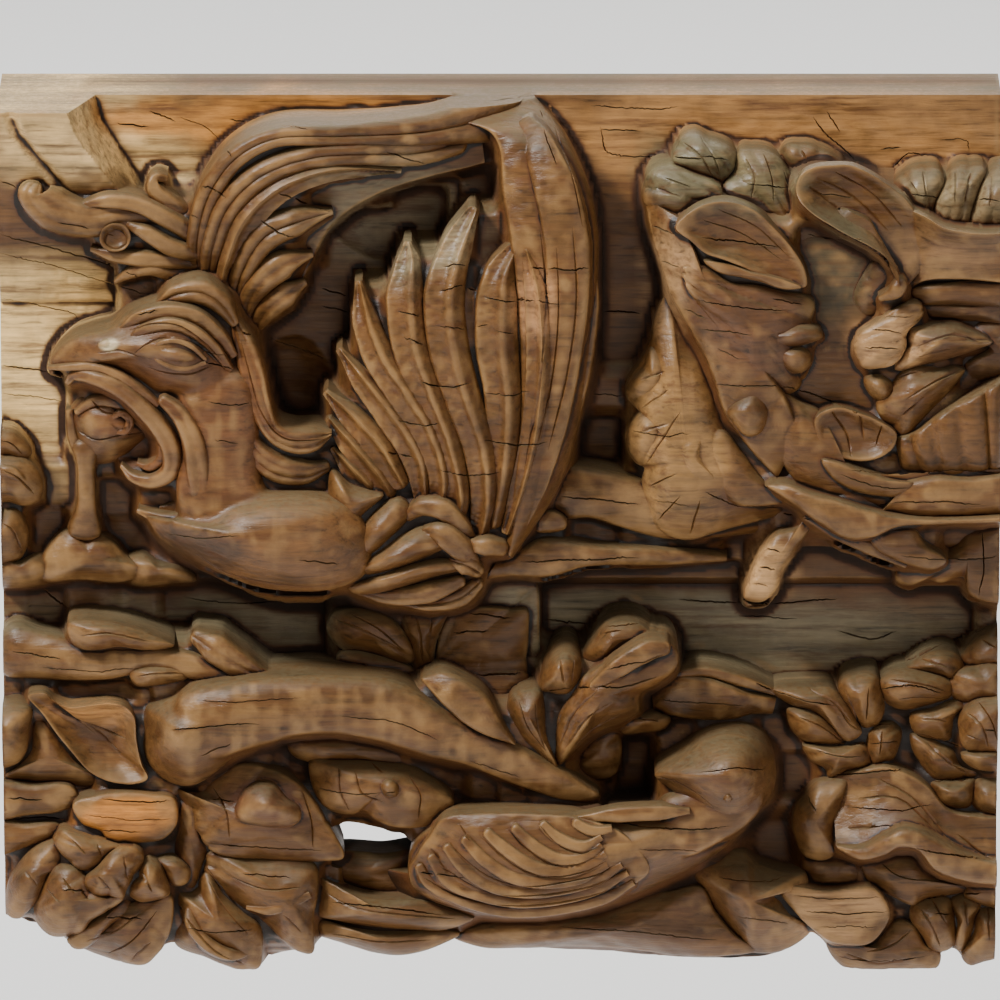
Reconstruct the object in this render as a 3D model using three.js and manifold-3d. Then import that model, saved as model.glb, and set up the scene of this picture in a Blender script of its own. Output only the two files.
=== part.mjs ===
// Carved door lintel: one length of hardwood beam with a phoenix, a peony and a small bird
// among leaves and branches, carved in high relief, with a pierced and scalloped apron below.
//
// Frame: millimetres, +X along the beam to the right, front towards -Y, +Z up. The origin is
// the centre of the flat back, where the beam is built in.
//
// The carving is set out on a drawing made at twice full size. Each point of a form is
// [across, down, proud]: across and down are read on the drawing from its upper left corner,
// and proud is the real distance in front of the ground board. The drawing is seen a little
// from above, so a point that stands further forward is drawn lower.
import * as THREE from "three";
import { mergeVertices } from "three/addons/utils/BufferGeometryUtils.js";
import Module from "manifold-3d";

// The beam.
const length = 500;
const topHeight = 225;
const bottomHeight = -226;
const groundDepth = 50;
const deepestRelief = 130;
const rootDepth = 20;

// The drawing and how it is seen.
const drawingScale = 2;
const groundArris = 96;
const sightAngle = THREE.MathUtils.degToRad(14);

// How finely the forms are cut.
const sheetColumns = 5;
const sheetRows = 2;

// The ground board steps back below the upper relief and again behind the apron.
const middleGround = { from: 585, depth: 38 };
const lowerGround = { from: 700, depth: 28 };
const apronTop = 780;

const wasm = await Module();
wasm.setup();

function acrossToX(across) {
  return across / drawingScale - length / 2;
}

function downToZ(down, proud) {
  const drawn = (down - groundArris) / drawingScale;
  return topHeight - drawn / Math.cos(sightAngle) + proud * Math.tan(sightAngle);
}

function place([across, down, proud]) {
  return new THREE.Vector3(acrossToX(across), -(groundDepth + proud), downToZ(down, proud));
}

// A value read from a list of evenly spaced values, straight between them.
function along(values, t) {
  if (!Array.isArray(values)) {
    return values;
  }
  const at = t * (values.length - 1);
  const low = Math.min(Math.floor(at), values.length - 2);
  return THREE.MathUtils.lerp(values[low], values[low + 1], at - low);
}

function smoothCurve(points) {
  return new THREE.CatmullRomCurve3(points.map(place), false, "centripetal");
}

function closedSolid(points, triangles) {
  const geometry = new THREE.BufferGeometry();
  const positions = new Float32Array(points.flatMap((p) => [p.x, p.y, p.z]));
  geometry.setAttribute("position", new THREE.BufferAttribute(positions, 3));
  geometry.setIndex(triangles.flat());
  return toSolid(geometry);
}

// A closed mesh becomes a solid, turned so that its faces point out.
function toSolid(geometry) {
  geometry.deleteAttribute("normal");
  geometry.deleteAttribute("uv");
  const merged = mergeVertices(geometry, 1e-4);
  const place3 = merged.attributes.position.array;
  const corners = Array.from(merged.index.array);
  const at = (i) => new THREE.Vector3().fromArray(place3, corners[i] * 3);
  let volume = 0;
  for (let i = 0; i < corners.length; i += 3) {
    volume += at(i).dot(at(i + 1).cross(at(i + 2)));
  }
  if (volume < 0) {
    for (let i = 0; i < corners.length; i += 3) {
      [corners[i], corners[i + 1]] = [corners[i + 1], corners[i]];
    }
  }
  const mesh = new wasm.Mesh({
    numProp: 3,
    vertProperties: new Float32Array(place3),
    triVerts: new Uint32Array(corners),
  });
  return new wasm.Manifold(mesh);
}

// Forms grow straight out of the board: their backs lie at the root depth inside it, unless
// a form has a thickness of its own and is undercut.
function backOf(point, thick) {
  const y = thick ? point.y + thick : -rootDepth;
  return new THREE.Vector3(point.x, y, point.z);
}

// A strand is a rounded section carried along a smooth path, its crest on the path. 'crown'
// is how far its sides fall back, as a share of the half width, and 'facets' is the number of
// flats across its front.
function strand({ path, width, thick, crown = 0.8, facets = 2 }) {
  const curve = smoothCurve(path);
  const steps = path.length - 1;
  const towardsViewer = new THREE.Vector3(0, -1, 0);
  const points = [];
  for (let step = 0; step <= steps; step += 1) {
    const t = step / steps;
    const centre = curve.getPoint(t);
    const tangent = curve.getTangent(t);
    const front = towardsViewer.clone().addScaledVector(tangent, -towardsViewer.dot(tangent));
    front.normalize();
    const side = new THREE.Vector3().crossVectors(tangent, front).normalize();
    const halfWidth = along(width, t) / drawingScale / 2;
    const section = [];
    for (let corner = 0; corner <= facets; corner += 1) {
      const turn = (Math.PI * corner) / facets;
      const point = centre.clone().addScaledVector(side, halfWidth * Math.cos(turn));
      section.push(point.addScaledVector(front, halfWidth * crown * (Math.sin(turn) - 1)));
    }
    points.push(...section, backOf(section[facets], thick), backOf(section[0], thick));
  }
  return closedSolid(points, loftTriangles(steps, facets + 3));
}

// The triangles of a loft: rings of equal count joined in order, with a fan at each end.
function loftTriangles(steps, corners) {
  const triangles = [];
  for (let step = 0; step < steps; step += 1) {
    for (let corner = 0; corner < corners; corner += 1) {
      const a = step * corners + corner;
      const b = step * corners + ((corner + 1) % corners);
      triangles.push([a, b, b + corners], [a, b + corners, a + corners]);
    }
  }
  const last = steps * corners;
  for (let corner = 1; corner < corners - 1; corner += 1) {
    triangles.push([0, corner + 1, corner], [last, last + corner, last + corner + 1]);
  }
  return triangles;
}

// A sheet is a leaf or petal spread from a base line to a rim line, both smooth curves. It
// bulges towards the viewer between them.
function sheet({ base, rim, thick, bulge = 0, columns = sheetColumns, rows = sheetRows }) {
  const baseCurve = smoothCurve(base);
  const rimCurve = smoothCurve(rim);
  const front = [];
  for (let column = 0; column <= columns; column += 1) {
    const u = column / columns;
    for (let row = 0; row <= rows; row += 1) {
      const v = row / rows;
      const point = baseCurve.getPoint(u).lerp(rimCurve.getPoint(u), v);
      point.y -= bulge * 4 * v * (1 - v);
      front.push(point);
    }
  }
  const back = front.map((point) => backOf(point, thick));
  const stride = rows + 1;
  const behind = front.length;
  const triangles = [];
  for (let column = 0; column < columns; column += 1) {
    for (let row = 0; row < rows; row += 1) {
      const a = column * stride + row;
      const c = a + stride;
      triangles.push([a, c, c + 1], [a, c + 1, a + 1]);
      triangles.push([behind + a, behind + c + 1, behind + c]);
      triangles.push([behind + a, behind + a + 1, behind + c + 1]);
    }
  }
  const border = [];
  for (let column = 0; column < columns; column += 1) {
    border.push(column * stride);
  }
  for (let row = 0; row < rows; row += 1) {
    border.push(columns * stride + row);
  }
  for (let column = columns; column > 0; column -= 1) {
    border.push(column * stride + rows);
  }
  for (let row = rows; row > 0; row -= 1) {
    border.push(row);
  }
  border.forEach((a, i) => {
    const b = border[(i + 1) % border.length];
    triangles.push([b, a, behind + a], [b, behind + a, behind + b]);
  });
  return closedSolid([...front, ...back], triangles);
}

// The crest behind the head: a rolled ribbon and the locks under it.
const crest = {
  ribbon: {
    path: [[206, 244, 24], [165, 222, 31], [125, 214, 35], [90, 222, 36], [55, 210, 38],
      [36, 192, 38], [44, 178, 34]],
    width: [38, 34, 28, 34, 42, 30, 12],
    facets: 4,
  },
  upperLock: {
    path: [[206, 224, 22], [172, 206, 24], [150, 190, 24], [152, 178, 20]],
    width: [16, 16, 12, 6],
  },
  lowerLock: {
    path: [[92, 248, 24], [116, 264, 27], [150, 268, 27], [205, 266, 24]],
    width: [5, 14, 18, 20],
  },
};

// The far wing: long feathers sweeping up from behind the head, over a thick body.
const farWing = {
  body: {
    base: [[224, 335, 14], [290, 300, 22], [335, 222, 24], [385, 190, 26], [485, 165, 24]],
    rim: [[204, 292, 16], [210, 215, 32], [250, 165, 38], [330, 150, 38], [480, 132, 24]],
  },
  outerFeather: {
    path: [[202, 292, 20], [204, 248, 32], [218, 204, 40], [246, 170, 44], [285, 150, 46],
      [345, 150, 44], [405, 150, 36], [456, 142, 30], [505, 126, 22], [538, 106, 12]],
    width: [16, 24, 26, 24, 20, 20, 28, 44, 56, 60],
  },
  secondFeather: {
    path: [[212, 305, 20], [222, 262, 34], [240, 222, 41], [268, 192, 43], [310, 172, 43],
      [350, 165, 41], [384, 178, 34]],
    width: [12, 20, 22, 22, 20, 18, 6],
  },
  thirdFeather: {
    path: [[222, 316, 20], [243, 268, 34], [268, 228, 39], [300, 207, 40], [335, 216, 34]],
    width: [12, 20, 22, 20, 6],
  },
  fourthFeather: {
    path: [[236, 322, 18], [262, 282, 32], [285, 254, 36], [312, 244, 32]],
    width: [14, 22, 24, 8],
  },
  fifthFeather: {
    path: [[244, 332, 16], [270, 306, 28], [292, 288, 32], [308, 284, 30]],
    width: [14, 22, 22, 8],
  },
};

// The head with its hooked beak, brow, eye and the curled wattles below.
const head = {
  skull: {
    path: [[120, 352, 38], [150, 337, 48], [185, 330, 52], [216, 345, 50], [232, 380, 44]],
    width: [40, 80, 92, 96, 80],
    facets: 4,
    crown: 0.5,
  },
  upperBeak: {
    path: [[50, 370, 38], [62, 356, 44], [85, 348, 49], [112, 350, 52], [142, 356, 52]],
    width: [6, 20, 30, 38, 44],
  },
  brow: {
    path: [[120, 334, 46], [140, 312, 53], [170, 300, 56], [205, 302, 55], [232, 322, 48]],
    width: [12, 22, 26, 28, 20],
  },
  outerWattle: {
    path: [[68, 386, 36], [98, 376, 42], [130, 386, 46], [158, 411, 46], [176, 440, 44],
      [174, 470, 42], [152, 488, 40], [120, 468, 34]],
    width: [8, 22, 26, 26, 24, 24, 22, 6],
  },
  innerWattle: {
    path: [[186, 392, 46], [206, 436, 46], [210, 480, 44], [200, 512, 42], [168, 520, 40],
      [137, 513, 34]],
    width: [14, 24, 28, 28, 18, 6],
  },
  upperMane: {
    path: [[232, 312, 42], [250, 360, 48], [260, 410, 50], [280, 440, 50], [308, 448, 47],
      [332, 433, 40]],
    width: [12, 24, 30, 32, 26, 6],
  },
  lowerMane: {
    path: [[244, 400, 44], [255, 450, 47], [280, 480, 47], [310, 487, 45], [332, 476, 40]],
    width: [12, 22, 28, 24, 6],
  },
};

// The neck and the full breast, which stand furthest forward on the left.
const breast = {
  neck: {
    path: [[212, 365, 48], [222, 410, 52], [224, 455, 52], [222, 505, 50]],
    width: [84, 76, 66, 70],
    facets: 4,
    crown: 0.5,
  },
  barrel: {
    path: [[150, 522, 36], [185, 542, 52], [235, 550, 66], [295, 546, 70], [350, 538, 62],
      [385, 530, 50]],
    width: [26, 62, 92, 96, 90, 60],
    facets: 4,
    crown: 0.7,
  },
};

// The bud that the beak holds, on its stem, with the clump that it grows from.
const bud = {
  flower: {
    path: [[78, 402, 18], [98, 415, 32], [125, 424, 34], [150, 430, 22]],
    width: [34, 64, 62, 18],
    facets: 4,
  },
  stem: {
    path: [[72, 400, 22], [75, 445, 26], [86, 485, 24], [90, 540, 18]],
    width: [18, 18, 18, 26],
  },
  clump: {
    path: [[20, 562, 8], [55, 558, 16], [95, 556, 18], [135, 562, 16], [160, 572, 8]],
    width: [30, 42, 50, 38, 16],
  },
};

// The near wing: a thick leading arm on the right and eight feathers fanned to its left.
const nearWing = {
  panel: {
    base: [[334, 470, 28], [380, 520, 34], [450, 550, 36], [510, 545, 38]],
    rim: [[330, 400, 26], [372, 330, 32], [440, 280, 42], [550, 260, 46]],
    bulge: 2,
  },
  shoulder: {
    path: [[540, 100, 8], [545, 145, 34], [547, 195, 46], [552, 245, 52], [552, 300, 52],
      [540, 380, 48]],
    width: [40, 54, 72, 80, 76, 50],
    facets: 4,
    crown: 0.6,
  },
  leadingEdge: {
    path: [[545, 104, 10], [562, 150, 32], [572, 200, 44], [577, 262, 50], [575, 330, 52],
      [568, 400, 52], [545, 480, 48], [512, 546, 44]],
    width: [24, 32, 34, 34, 34, 34, 28, 12],
  },
  feather1: {
    path: [[512, 244, 48], [499, 276, 56], [493, 310, 58], [495, 360, 58], [502, 410, 56],
      [500, 470, 52], [490, 530, 46]],
    width: [14, 26, 34, 36, 32, 26, 16],
  },
  feather2: {
    path: [[480, 208, 42], [458, 248, 50], [448, 284, 55], [445, 316, 57], [452, 356, 57],
      [465, 395, 56], [480, 460, 53], [486, 530, 47]],
    width: [10, 24, 30, 32, 30, 28, 22, 14],
  },
  feather3: {
    path: [[409, 242, 40], [406, 290, 48], [405, 320, 51], [411, 350, 53], [421, 380, 54],
      [445, 440, 53], [472, 512, 49]],
    width: [8, 26, 30, 28, 26, 22, 15],
  },
  feather4: {
    path: [[360, 282, 36], [365, 320, 44], [375, 355, 48], [393, 388, 51], [424, 424, 51],
      [450, 475, 50], [466, 525, 46]],
    width: [8, 22, 27, 26, 24, 20, 14],
  },
  feather5: {
    path: [[338, 350, 34], [359, 380, 42], [382, 415, 47], [410, 448, 49], [438, 488, 49],
      [455, 520, 46]],
    width: [8, 20, 24, 22, 18, 13],
  },
  feather6: {
    path: [[327, 394, 32], [351, 421, 40], [381, 454, 45], [420, 494, 47], [440, 520, 44]],
    width: [8, 18, 22, 18, 12],
  },
  feather7: {
    path: [[334, 431, 34], [357, 457, 40], [386, 481, 44], [416, 510, 44]],
    width: [8, 18, 18, 12],
  },
  feather8: {
    path: [[334, 463, 36], [356, 481, 41], [386, 501, 43], [405, 515, 42]],
    width: [6, 16, 17, 12],
  },
};

// The short leaf-shaped feathers on the shoulder.
const coverts = {
  topLeaf: { path: [[384, 490, 44], [360, 510, 52], [344, 538, 44]], width: [14, 36, 14] },
  secondLeaf: { path: [[402, 514, 46], [380, 532, 56], [357, 556, 46]], width: [12, 32, 12] },
  thirdLeaf: { path: [[438, 520, 48], [396, 545, 58], [354, 568, 44]], width: [12, 34, 12] },
  crossLeaf: { path: [[412, 528, 52], [440, 536, 59], [461, 552, 50]], width: [12, 30, 14] },
  fourthLeaf: { path: [[448, 556, 50], [402, 570, 56], [350, 583, 42]], width: [14, 32, 10] },
  fifthLeaf: { path: [[450, 584, 44], [404, 592, 50], [352, 588, 38]], width: [14, 26, 10] },
  lowestLeaf: { path: [[466, 586, 42], [436, 598, 46], [404, 602, 38]], width: [14, 20, 8] },
  rightLeaf: { path: [[446, 564, 48], [464, 565, 53], [482, 567, 46]], width: [18, 26, 14] },
};

// The branch and the long blade that run from the wing to the leaf of the peony.
const middleStems = {
  branch: {
    path: [[545, 490, 22], [580, 496, 30], [620, 508, 28], [680, 520, 22], [765, 522, 12]],
    width: [38, 40, 40, 32, 20],
    thick: 32,
  },
  stub: { path: [[535, 534, 34], [550, 522, 36], [566, 514, 28]], width: [14, 24, 16], thick: 34 },
  blade: {
    path: [[500, 566, 28], [540, 564, 36], [590, 562, 34], [660, 556, 26], [729, 557, 14]],
    width: [12, 32, 32, 24, 8],
    thick: 30,
  },
};

// The scalloped leaf left of the peony, three lobes to the left and a long one below.
const peonyLeaf = {
  blade: {
    base: [[705, 330, 24], [712, 400, 22], [735, 450, 22], [790, 478, 24]],
    rim: [[655, 322, 20], [636, 375, 28], [636, 430, 32], [650, 490, 34], [690, 538, 32],
      [795, 506, 22]],
    thick: 30,
    bulge: 5,
    columns: 8,
  },
  upperLobe: { path: [[690, 370, 32], [660, 385, 38], [634, 395, 30]], width: [30, 46, 24] },
  middleLobe: { path: [[690, 405, 34], [658, 432, 40], [634, 442, 32]], width: [20, 54, 34] },
  lowerLobe: { path: [[690, 450, 36], [680, 490, 42], [675, 528, 34]], width: [24, 66, 40] },
};

// The peony: a big open flower with a hollow heart, its petals lapped like tiles.
const peony = {
  heart: {
    path: [[690, 260, 22], [760, 290, 26], [850, 330, 28], [930, 390, 28], [1010, 420, 28]],
    width: [110, 200, 260, 220, 200],
    facets: 4,
    crown: 0.1,
  },
  leftWall: {
    path: [[655, 205, 36], [660, 250, 44], [680, 295, 50], [706, 342, 52], [742, 398, 50],
      [778, 450, 46]],
    width: [28, 36, 38, 38, 42, 44],
  },
  squarePetal: { path: [[712, 202, 36], [707, 168, 36], [702, 142, 24]], width: [44, 62, 44] },
  leftPetal: { path: [[712, 214, 42], [682, 194, 44], [650, 188, 30]], width: [30, 54, 32] },
  topPetal: { path: [[756, 238, 34], [762, 196, 38], [762, 158, 24]], width: [44, 58, 42] },
  foldPetal: {
    path: [[805, 272, 42], [766, 246, 56], [720, 228, 62], [682, 230, 58]],
    width: [44, 64, 52, 22],
    thick: 20,
  },
  lowerBody: {
    base: [[690, 262, 44], [706, 310, 48], [736, 362, 48], [776, 420, 46]],
    rim: [[805, 290, 44], [816, 325, 46], [812, 356, 42], [815, 395, 38]],
    bulge: 8,
  },
  curlPetal: {
    base: [[800, 176, 56], [850, 168, 60], [890, 186, 58], [930, 220, 50], [950, 262, 40]],
    rim: [[792, 194, 62], [814, 228, 70], [852, 247, 74], [886, 267, 70], [896, 294, 60]],
    thick: 16,
    bulge: -6,
    columns: 7,
  },
  curlRoot: {
    path: [[905, 240, 48], [925, 290, 40], [900, 330, 40], [860, 360, 36]],
    width: [50, 60, 60, 50],
  },
  backPetal1: { path: [[930, 245, 34], [924, 205, 36], [917, 172, 22]], width: [56, 64, 42] },
  backPetal2: { path: [[966, 245, 36], [963, 205, 38], [960, 174, 22]], width: [44, 52, 38] },
  backPetal3: { path: [[1006, 245, 36], [1003, 205, 38], [1000, 172, 22]], width: [44, 52, 40] },
  rimPetal: {
    path: [[905, 250, 48], [942, 246, 58], [975, 246, 60], [1012, 246, 60]],
    width: [30, 50, 52, 54],
  },
  brokenPetal: { path: [[850, 352, 42], [882, 334, 54], [918, 312, 54]], width: [22, 38, 20] },
  upperPoint: {
    path: [[895, 358, 40], [935, 338, 52], [970, 340, 54], [992, 343, 50]],
    width: [24, 50, 38, 8],
    thick: 34,
  },
  lowerPoint: {
    path: [[874, 422, 38], [908, 394, 50], [940, 380, 54], [962, 373, 50]],
    width: [28, 64, 44, 8],
    thick: 36,
  },
  roundPetal: { path: [[838, 456, 44], [868, 442, 54], [894, 432, 44]], width: [30, 42, 24] },
  veinedPetal: {
    path: [[880, 472, 40], [928, 456, 50], [970, 432, 53], [1014, 410, 48]],
    width: [26, 54, 60, 56],
    thick: 36,
  },
  bowl: {
    path: [[782, 400, 44], [812, 432, 50], [850, 466, 50], [900, 486, 46], [960, 480, 44],
      [1012, 470, 44]],
    width: [40, 66, 60, 50, 60, 70],
    facets: 4,
  },
  brokenRim: {
    path: [[812, 460, 52], [836, 480, 57], [872, 489, 57], [908, 488, 52]],
    width: [8, 16, 20, 14],
  },
  outerRim: {
    path: [[766, 480, 46], [786, 500, 56], [816, 514, 60], [856, 521, 60], [902, 521, 58],
      [955, 518, 52], [1012, 514, 46]],
    width: [12, 22, 24, 24, 22, 20, 20],
    thick: 30,
  },
  brokenBlade: {
    path: [[802, 512, 30], [782, 546, 38], [765, 576, 40], [751, 598, 36]],
    width: [24, 28, 28, 18],
    thick: 30,
  },
  lowerPetals: {
    base: [[880, 528, 28], [945, 526, 32], [1012, 522, 34]],
    rim: [[892, 578, 22], [925, 583, 26], [950, 582, 28], [972, 600, 28], [1012, 600, 28]],
    thick: 34,
    bulge: 4,
  },
};

// Half of a flower that the cut end of the beam passes through.
const endFlower = {
  petal1: { path: [[-12, 436, 14], [15, 440, 22], [38, 464, 14]], width: [30, 34, 18] },
  petal2: { path: [[-12, 472, 18], [18, 482, 26], [44, 502, 16]], width: [36, 42, 20] },
  petal3: { path: [[-12, 515, 20], [14, 524, 26], [36, 540, 16]], width: [40, 42, 20] },
  petal4: { path: [[-12, 552, 16], [8, 556, 20], [24, 568, 12]], width: [30, 34, 16] },
};

// The leafy frond that enters from the left, above the apron.
const frond = {
  stem: {
    path: [[-12, 642, 12], [40, 656, 18], [95, 664, 23], [150, 664, 25], [188, 670, 27],
      [232, 684, 29], [300, 696, 26]],
    width: [52, 40, 30, 26, 28, 26, 18],
  },
  upperBlade: {
    path: [[67, 636, 20], [95, 636, 29], [130, 638, 30], [174, 648, 24]],
    width: [24, 30, 26, 6],
  },
  lowerBlade: { path: [[128, 677, 18], [156, 675, 26], [192, 664, 24]], width: [20, 24, 8] },
  pointedLeaf: { path: [[189, 634, 18], [213, 646, 30], [247, 666, 24]], width: [10, 30, 6] },
};

// The flower and the folded leaves of the apron, lower left.
const leftApron = {
  ground: { path: [[-12, 790, 4], [90, 790, 6], [210, 800, 6]], width: [190, 190, 150], crown: 0.1 },
  hollowLeaf: {
    base: [[42, 704, 24], [90, 706, 27], [132, 708, 24]],
    rim: [[84, 776, 8], [106, 784, 6], [134, 784, 6]],
    bulge: -4,
  },
  sideLeaf: { path: [[34, 712, 12], [46, 744, 18], [46, 776, 8]], width: [12, 44, 30] },
  brokenTop: {
    path: [[60, 820, 18], [110, 818, 26], [174, 816, 24]],
    width: [26, 54, 50],
    crown: 0.3,
  },
  leftSlab: { path: [[-12, 804, 16], [30, 804, 18], [64, 808, 14]], width: [34, 34, 24] },
  backStem: {
    path: [[186, 780, 14], [186, 830, 20], [184, 872, 18], [172, 906, 10]],
    width: [22, 26, 24, 16],
  },
  leftPetal: {
    path: [[12, 922, 6], [10, 890, 16], [28, 862, 22], [58, 850, 18]],
    width: [14, 36, 38, 18],
  },
  flowerHeart: { path: [[44, 932, 10], [62, 900, 28], [84, 872, 20]], width: [40, 68, 40] },
  topPetal: { path: [[52, 850, 24], [76, 850, 34], [108, 862, 32]], width: [20, 40, 24] },
  roundPetal: { path: [[88, 888, 34], [105, 868, 41], [122, 846, 30]], width: [30, 48, 24] },
  rightPetal: { path: [[124, 898, 28], [146, 880, 36], [168, 866, 26]], width: [22, 46, 30] },
  lowerFan: {
    base: [[64, 905, 18], [110, 900, 24], [160, 882, 18]],
    rim: [[58, 944, 2], [85, 956, 8], [112, 964, 10], [142, 968, 8], [168, 918, 4]],
    bulge: 4,
  },
  fanFold: { path: [[62, 950, 10], [92, 930, 22], [132, 904, 24]], width: [20, 26, 16] },
  upperFoldedLeaf: {
    path: [[188, 822, 14], [232, 812, 30], [285, 820, 34], [344, 852, 24]],
    width: [34, 84, 78, 18],
  },
  middleFoldedLeaf: {
    path: [[206, 862, 14], [240, 878, 26], [276, 910, 31], [309, 954, 18]],
    width: [24, 72, 66, 12],
  },
  lowerFoldedLeaf: {
    path: [[188, 880, 10], [206, 914, 20], [230, 946, 24], [254, 973, 14]],
    width: [26, 56, 56, 14],
  },
};

// The big branch that swells at the left, rises and tapers to the right, with its leaf.
const bigBranch = {
  bough: {
    path: [[148, 738, 10], [182, 750, 34], [232, 738, 46], [290, 716, 50], [350, 712, 50],
      [420, 730, 48], [480, 752, 46], [545, 778, 42], [606, 801, 30]],
    width: [34, 84, 84, 64, 56, 50, 42, 32, 8],
    facets: 4,
  },
  upperLobe: { path: [[288, 750, 20], [335, 756, 30], [405, 766, 26]], width: [24, 44, 24] },
  lowerLobe: {
    path: [[310, 768, 18], [350, 796, 31], [400, 808, 34], [454, 800, 24]],
    width: [30, 60, 44, 10],
  },
};

// What stands on the middle ground: a leaf, a square block and a pointed leaf.
const middleGroundCarving = {
  upperLobe: { path: [[330, 630, 6], [365, 628, 18], [405, 642, 16]], width: [24, 48, 40] },
  lowerLobe: { path: [[338, 661, 2], [366, 661, 14], [410, 666, 12]], width: [16, 24, 26] },
  rightLobe: { path: [[440, 612, 10], [414, 630, 18], [404, 672, 12]], width: [30, 46, 60] },
  block: {
    path: [[436, 640, 18], [470, 640, 27], [510, 640, 28], [542, 640, 24]],
    width: [100, 108, 108, 106],
    crown: 0.25,
  },
  pointedLeaf: {
    path: [[421, 675, 22], [446, 698, 34], [476, 725, 36], [502, 744, 26]],
    width: [8, 22, 20, 8],
  },
  pointedLeafSide: { path: [[440, 682, 14], [480, 702, 20], [510, 738, 14]], width: [24, 46, 18] },
};

// The scalloped leaf above the small bird and the bar beside it.
const fanLeaf = {
  leftLobe: { path: [[564, 768, 34], [532, 738, 45], [522, 700, 38]], width: [18, 54, 38] },
  topLobe: { path: [[566, 762, 36], [565, 712, 47], [562, 664, 38]], width: [18, 50, 38] },
  longLobe: {
    path: [[562, 768, 36], [592, 712, 51], [632, 676, 54], [674, 655, 44]],
    width: [20, 62, 58, 36],
  },
  backLobe: { path: [[588, 692, 20], [610, 652, 30], [642, 634, 20]], width: [34, 54, 28] },
  lowerLobe: { path: [[566, 766, 34], [602, 722, 45], [642, 704, 38]], width: [16, 40, 30] },
  bar: {
    path: [[618, 702, 22], [680, 694, 33], [735, 697, 33], [776, 702, 26]],
    width: [34, 42, 38, 34],
  },
};

// The small bird, looking back over its wing.
const smallBird = {
  beak: { path: [[657, 777, 54], [682, 768, 63], [708, 764, 63]], width: [5, 28, 52] },
  head: {
    path: [[700, 764, 56], [720, 768, 64], [746, 775, 66], [772, 790, 56]],
    width: [50, 72, 80, 46],
    facets: 4,
  },
  nape: {
    path: [[752, 800, 54], [715, 826, 58], [650, 828, 57], [574, 822, 44]],
    width: [74, 62, 38, 22],
  },
  body: {
    path: [[735, 812, 46], [690, 842, 57], [620, 860, 61], [540, 868, 59], [465, 872, 48],
      [412, 878, 32]],
    width: [64, 84, 92, 96, 84, 34],
    facets: 4,
    crown: 0.5,
  },
  wingEdge: {
    path: [[409, 872, 36], [436, 900, 44], [520, 914, 52], [600, 900, 58], [664, 868, 58]],
    width: [16, 20, 18, 16, 8],
  },
  secondArc: {
    path: [[436, 862, 46], [462, 889, 54], [530, 900, 60], [602, 886, 63], [648, 866, 60]],
    width: [8, 14, 14, 12, 6],
  },
  thirdArc: {
    path: [[472, 848, 50], [492, 874, 58], [545, 886, 63], [612, 874, 64]],
    width: [8, 14, 14, 8],
  },
  belly: {
    path: [[462, 940, 12], [520, 936, 28], [600, 920, 36], [665, 886, 42], [712, 846, 44]],
    width: [18, 34, 36, 36, 28],
  },
  upperTail: {
    path: [[312, 880, 12], [350, 898, 25], [400, 905, 28], [460, 908, 28]],
    width: [22, 34, 32, 30],
  },
  tailGround: {
    path: [[320, 872, 6], [375, 870, 10], [435, 868, 14]],
    width: [28, 28, 30],
    crown: 0.2,
  },
  lowerTail: {
    path: [[308, 928, 4], [346, 936, 18], [392, 944, 20], [434, 950, 10]],
    width: [12, 36, 36, 22],
  },
};

// The limb and the trailing edge below the bird.
const lowerLimb = {
  limb: {
    path: [[722, 850, 26], [746, 890, 38], [774, 926, 36], [800, 950, 22]],
    width: [54, 82, 72, 30],
    facets: 4,
  },
  edge: {
    path: [[462, 946, 6], [560, 944, 14], [650, 950, 18], [760, 954, 18], [806, 948, 10]],
    width: [12, 24, 34, 30, 18],
  },
  leaf: { path: [[590, 934, 14], [656, 914, 26], [722, 896, 26]], width: [24, 56, 50] },
};

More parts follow.
